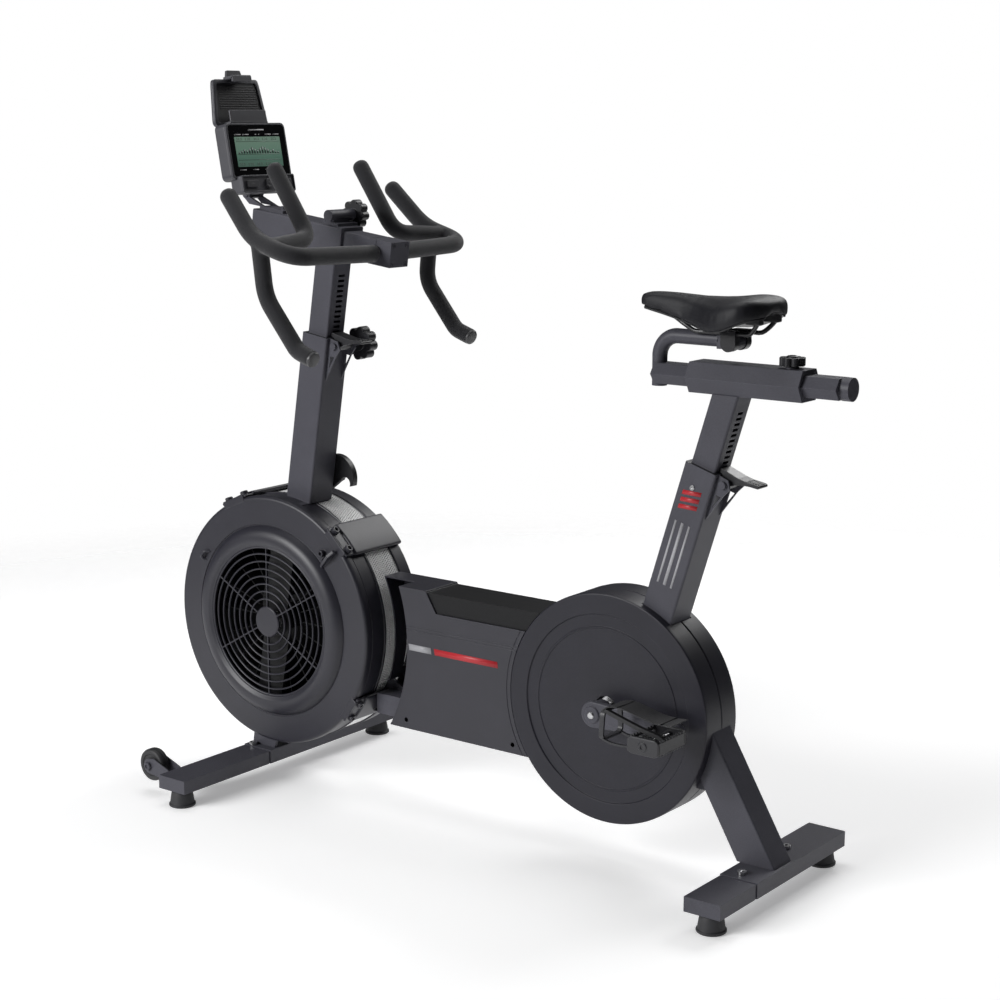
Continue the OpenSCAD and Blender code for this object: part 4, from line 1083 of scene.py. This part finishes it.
# Lower key bar with one rimmed recess for the keys
bar_out, bar_in = rounded_box(73, -27, 7, 4), rounded_box(70, -24, 4, 3)
case.prism(bar_out, -18, 9, "X", 2, 3)
ring_frame(case, bar_out, bar_in, 8.4, 14.0)
case.prism(rounded_box(70.5, -24.5, 4.5, 3), 8, 11.6, "X", 0.4)
case.box((-44, -12, -32), (-24, 12, 4), 3)
case.lathe([(4.2, -12.4), (10, -12.4), (10.6, -11.6), (10.6, 11.6), (10, 12.4),
            (4.2, 12.4)], "Y", 40, (-34, -22))
case.piece("console_body", "console", "console_plastic", ["console_case"])

glass = Shape(CONSOLE)
glass.prism(rounded_box(78.2, 4.2, 106.4, 9), -2.6, -0.7, "X", 0.5)
glass.piece("console_glass", "console", "screen", ["console_screen"])


# Heights over which the display's painted shade lightens towards the top, and the
# pitch of its columns
LCD_SHADE_LOW, LCD_SHADE_HIGH, LCD_PITCH = 1.220, 1.285, 0.0042


def lcd_glow_and_shade():
    """Reflective display: pale green, with faint columns, painted darker towards the
    bottom as painted shade and given a painted glow.
    """
    n = Nodes("lcd")
    part = n.add("SeparateXYZ", Vector=n.spot)
    shade_rise = n.add("MapRange", Value=part.outputs[2], From_Min=LCD_SHADE_LOW,
                 From_Max=LCD_SHADE_HIGH)
    tone = n.ramp(shade_rise.outputs[0], [
        (0.0, (0.085, 0.165, 0.125)), (0.3, (0.10, 0.21, 0.155)),
        (0.55, (0.155, 0.275, 0.205)), (1.0, (0.19, 0.30, 0.225))])
    wave = n.math("SINE", n.math("MULTIPLY", part.outputs[1],
                                 2 * math.pi / LCD_PITCH))
    columns = n.math("MULTIPLY", n.math("GREATER_THAN", wave, 0.86), 0.14)
    # Painted glow: the display's tone as emission, though it is no lamp
    n.put(n.bsdf, Base_Color=n.mix(columns, tone, (0.03, 0.07, 0.05)),
          Emission_Color=tone, Emission_Strength=0.25, Roughness=0.3)


lcd_glow_and_shade()
lcd = Shape(CONSOLE)
lcd.prism(rounded_box(63, 25, 83, 1.4), -0.8, -0.45, "X", 0.1)
lcd.piece("console_display", "console", "screen", look="lcd")

marks = Shape(CONSOLE)


def mark(y0, y1, z0, z1):
    """Dark bar on the display."""
    marks.box((-0.5, y0, z0), (-0.35, y1, z1), 0)


for z0, z1 in ((73.4, 74.3), (48.4, 49.3), (37.6, 38.5)):
    mark(-60, 60, z0, z1)
for k, tall in enumerate((3, 5, 8, 6, 9, 12, 9, 7, 10, 13, 11, 8, 5, 7, 4, 3)):
    mark(-57 + k * 7.2, -52.6 + k * 7.2, 50.4, 50.4 + tall)
for k in range(5):
    for row in (27.6, 76.4):
        for col in range(3):
            y0 = -58 + k * 24 + col * 5.4
            edge = 0 if (k + col) % 2 else 2.7
            mark(y0, y0 + 3.6, row, row + 1)
            mark(y0, y0 + 3.6, row + 3.4, row + 4.4)
            mark(y0 + edge, y0 + edge + 0.9, row + 1, row + 3.4)
marks.piece("display_segments", "console", "screen", look="lcd_ink", sharp=0)

labels = Shape(CONSOLE)
for row, spans in (
        (86.6, [(-62, -44), (-40, -22), (-6, -1), (4, 7), (22, 40), (44, 62)]),
        (18.0, [(-60, -42), (-24, -8), (10, 30), (42, 58)])):
    for y0, y1 in spans:
        labels.box((-0.75, y0, row), (-0.55, y1, row + 1.7), 0)
labels.box((-0.75, -22, 95), (-0.55, 22, 97.6), 0)
labels.piece("bezel_marks", "console", "console_plastic", look="print", sharp=0)


def key(name, y, body, replaced):
    """Button of the console: round in the middle, oblong on each side."""
    shape = Shape(CONSOLE)
    if y == 0:
        shape.lathe([(0, 8), (10, 8), (10, 14), (9, 15.3), (6.5, 15.5), (6, 15.1),
                     (0, 15.1)], "X", 40, (0, -10))
        shape.lathe([(0, 15), (1.6, 15), (1.6, 15.6), (0, 15.6)], "X", 16, (0, -10))
    else:
        half = [(y - 16, -17), (y + 16, -17), (y + 16, -3), (y - 16, -3)]
        shape.prism(fillet(half, 2.6, 4), 8, 15.3, "X", 0.9, 3)
        shape.box((15.1, y - 4.5, -10.6), (15.5, y + 4.5, -9.6), 0)
    shape.piece(name, body, "key_rubber", [replaced])


key("key_left", -46, "left_button", "button_left")
key("key_centre", 0, "centre_button", "button_centre")
key("key_right", 46, "right_button", "button_right")

holder = Shape(CONSOLE)
plate = fillet(both_sides([(74, 108), (63, 189), (60, 201)]), 13, 6)
panel = fillet(both_sides([(66, 116), (55.5, 187), (53, 193.5)]), 9, 6)
holder.prism(plate, -44, -37, "X", 2, 3)
ring_frame(holder, plate, panel, -37.4, -33.6, 0.8)
holder.prism(rounded_box(50, 112, 138, 3, 4), -18, -14, "X", 1.2)
holder.box((-35, -52, 112), (-14, 52, 116), 1.2)
holder.box((-44, -40, 76), (-37, 40, 112), 2)
holder.piece("tablet_plate", "console", "console_plastic", ["tablet_holder"])
inset = Shape(CONSOLE)
inset.prism(fillet(both_sides([(65.6, 116.4), (55, 187), (52.6, 193)]), 9, 6),
            -37.2, -35.6, "X", 0.4)
for k in range(10):
    inset.prism(rounded_box(52, 144 + k * 4.6, 145.8 + k * 4.6, 0.8, 2), -35.8,
                -35.0, "X")
inset.piece("tablet_pad", "console", "dark_plastic")

clip = Shape(CONSOLE)
clip.box((-41.6, -13, 171), (-37.6, 13, 206), 1)
clip.prism(rounded_box(26, 199.4, 206.4, 2, 3), -41.6, -16, "X", 1.4, 3)
clip.prism(fillet(both_sides([(22, 205), (18, 219)]), 2.4, 3), -41.6, -36, "X", 1.4)
clip.prism(rounded_box(26, 193, 205, 2, 3), -20, -15.6, "X", 1.2)
clip.piece("tablet_catch", "tablet_clip", "console_plastic", ["tablet_clip"])


# ---------- cranks and pedals ----------
def crank_pair():
    """Arms, with the left one behind the axle and the right one in front."""
    shape = Shape(CRANK)
    arm = [(24 * math.cos(t), 24 * math.sin(t))
           for t in [math.pi * (0.53 + 0.94 * k / 24) for k in range(25)]]
    arm += [(CRANK_LENGTH + 16 * math.cos(t), 16 * math.sin(t))
            for t in [math.pi * (-0.47 + 0.94 * k / 16) for k in range(17)]]
    shape.prism(arm, 76.4, 90, "Y", 3.0, 4)
    shape.lathe([(10.2, 54), (19, 54), (20, 55), (20, 77), (10.2, 77)], "Y", 48)
    shape.lathe([(0, 89), (15.5, 89), (15.5, 91.4), (14, 93), (8, 94), (0, 94.2)],
                "Y", 48)
    shape.lathe([(7.2, 88), (12, 88), (12, 90.8), (11, 91.6), (7.2, 91.6)], "Y", 32,
                (CRANK_LENGTH, 0))
    groove = fillet([(34, -13), (34, 13), (146, 9.5), (146, -9.5)], 4, 4)
    shape.prism(groove, 89.2, 90.7, "Y", 0.6)
    right = Shape(CRANK).pour(shape.bm).turned(about_y(180))
    shape.mirrored(False).pour(right.bm)
    shape.piece("crank_pair", "crank", "powder_coat", ["crank_arms"])
    dome = Shape(CRANK)
    dome.lathe([(0, 94), (6.6, 94), (6.6, 95), (5.2, 96.6), (0, 97.4)], "Y", 32)
    dome.mirrored()
    dome.piece("crank_domes", "crank", "bright_steel")


crank_pair()


def pedal_and_cage(side, frame_matrix):
    """Platform pedal with its toe hoop, its brackets and a two-band strap."""
    body = side + "_pedal"
    pedal = Shape(frame_matrix)
    pedal.lathe([(5, 101), (9, 101), (10, 102.4), (9.4, 112), (8, 120), (8, 168),
                 (9.4, 178), (10, 187), (9, 188.4), (5, 188.4)], "Y", 32)
    for y0 in (101, 182.4):
        end = fillet([(-31, -11), (-22, -15), (24, -15), (31, -10), (31, 11),
                      (24, 15), (-24, 15), (-31, 11)], 4, 4)
        pedal.prism(end, y0, y0 + 6.6, "Y", 1.6, 3)
    for x0 in (-31, 26.4):
        pedal.box((x0, 103, -11), (x0 + 4.6, 187, 11), 1.4)
        for k in range(9):
            tooth = 108 + k * 8.6
            for z in (9, -14.4):
                pedal.box((x0 + 0.4, tooth, z), (x0 + 4.2, tooth + 4, z + 5.4), 0.9)
    for y0 in (122, 144, 166):
        pedal.box((-28, y0, -6), (28, y0 + 4, 6), 1)
    pedal.lathe([(4, 187), (8.6, 187), (9, 189.4), (7.6, 190.6), (4, 190.6)], "Y", 24)
    fittings = Shape(frame_matrix)
    for x0, y0 in ((-16, 128), (-16, 158), (12, 128), (12, 158)):
        fittings.lathe([(0, y0), (3.4, y0), (3.4, y0 + 14), (0, y0 + 14)], "Y", 16,
                       (x0, 9))
    cage = Shape(frame_matrix)
    for y in (118, 171):
        cage.tube(smooth_path([(-28, y, -9), (-50, y, -12), (-74, y, -12),
                               (-92, y, -7)], 5), 1.0,
                  section=[(-1.6, -3), (1.6, -3), (1.6, 3), (-1.6, 3)], up=(0, 1, 0))
    hoop = fillet([(112, -10), (177, -10), (172, 43), (117, 43)], 13, 6)
    inner = fillet([(116, -6), (173, -6), (168.4, 39), (120.6, 39)], 10, 6)
    verts = [(x, y, z) for x in (-97, -88) for ring in (hoop, inner)
             for y, z in ring]
    n = len(hoop)
    cage.take(verts, [(a * n + k, a * n + (k + 1) % n, b * n + (k + 1) % n, b * n + k)
                      for k in range(n)
                      for a, b in ((0, 1), (1, 3), (3, 2), (2, 0))])
    strap = Shape(frame_matrix)
    for points, y, half, thick in (
            ([(44, 39), (22, 38), (-4, 40), (-30, 46), (-60, 52), (-80, 50),
              (-94, 43.6)], 145, 25, 0.7),
            ([(28, 10), (18, 15), (-20, 23), (-58, 33), (-90, 42)], 166, 4, 3.5)):
        lane = smooth_path([(x, y, z) for x, z in points], 4)
        strap.tube(lane, 1.0, up=(1, 0, 0),
                   section=[(-half, -thick), (half, -thick), (half, thick),
                            (-half, thick)])
    if side == "left":
        for one in (pedal, cage, strap, fittings):
            one.mirrored(False)
    fittings.piece("pedal_" + side + "_fittings", body, "bright_steel")
    pedal.piece("pedal_" + side + "_body", body, "pedal_plastic", ["pedal_" + side])
    cage.piece("toe_hoop_" + side, body, "pedal_plastic", ["toe_cage_" + side])
    strap.piece("toe_strap_" + side, body, "pedal_plastic", look="strap")


pedal_and_cage("left", PEDAL_L)
pedal_and_cage("right", PEDAL_R)


# ---------- plain stripes ----------
def stripes(name, look, slot, frame_matrix, y, outlines):
    """Thin printed bars on a face at y."""
    shape = Shape(frame_matrix)
    for outline in outlines:
        shape.prism(outline, *y)
    shape.piece(name, "frame", slot, look=look, sharp=0)


TUBE_FACE, COVER_FACE = (-33.25, -32.9), (-48.3, -47.9)
stripes("seat_stripes_red", "stripe_red", "powder_coat", SEAT, TUBE_FACE,
        [[(-20, z), (16, z + 9), (16, z + 17), (-20, z + 8)] for z in (96, 83, 70)])
stripes("seat_stripes_grey", "stripe_grey", "powder_coat", SEAT, TUBE_FACE,
        [[(x0, -70), (x1, -70), (x1, 48), (x0, 48)]
         for x0, x1 in ((-18, -14), (10, 14), (-5, 1))])
for name, look, x0, x1 in (("cover_stripe_grey", "stripe_grey", -152, -96),
                           ("cover_stripe_red", "stripe_red", -90, 62)):
    stripes(name, look, "cover_plastic", WORLD, COVER_FACE,
            [[(x0 + 2, 322), (x1, 322), (x1 - 2, 334), (x0, 334)]])
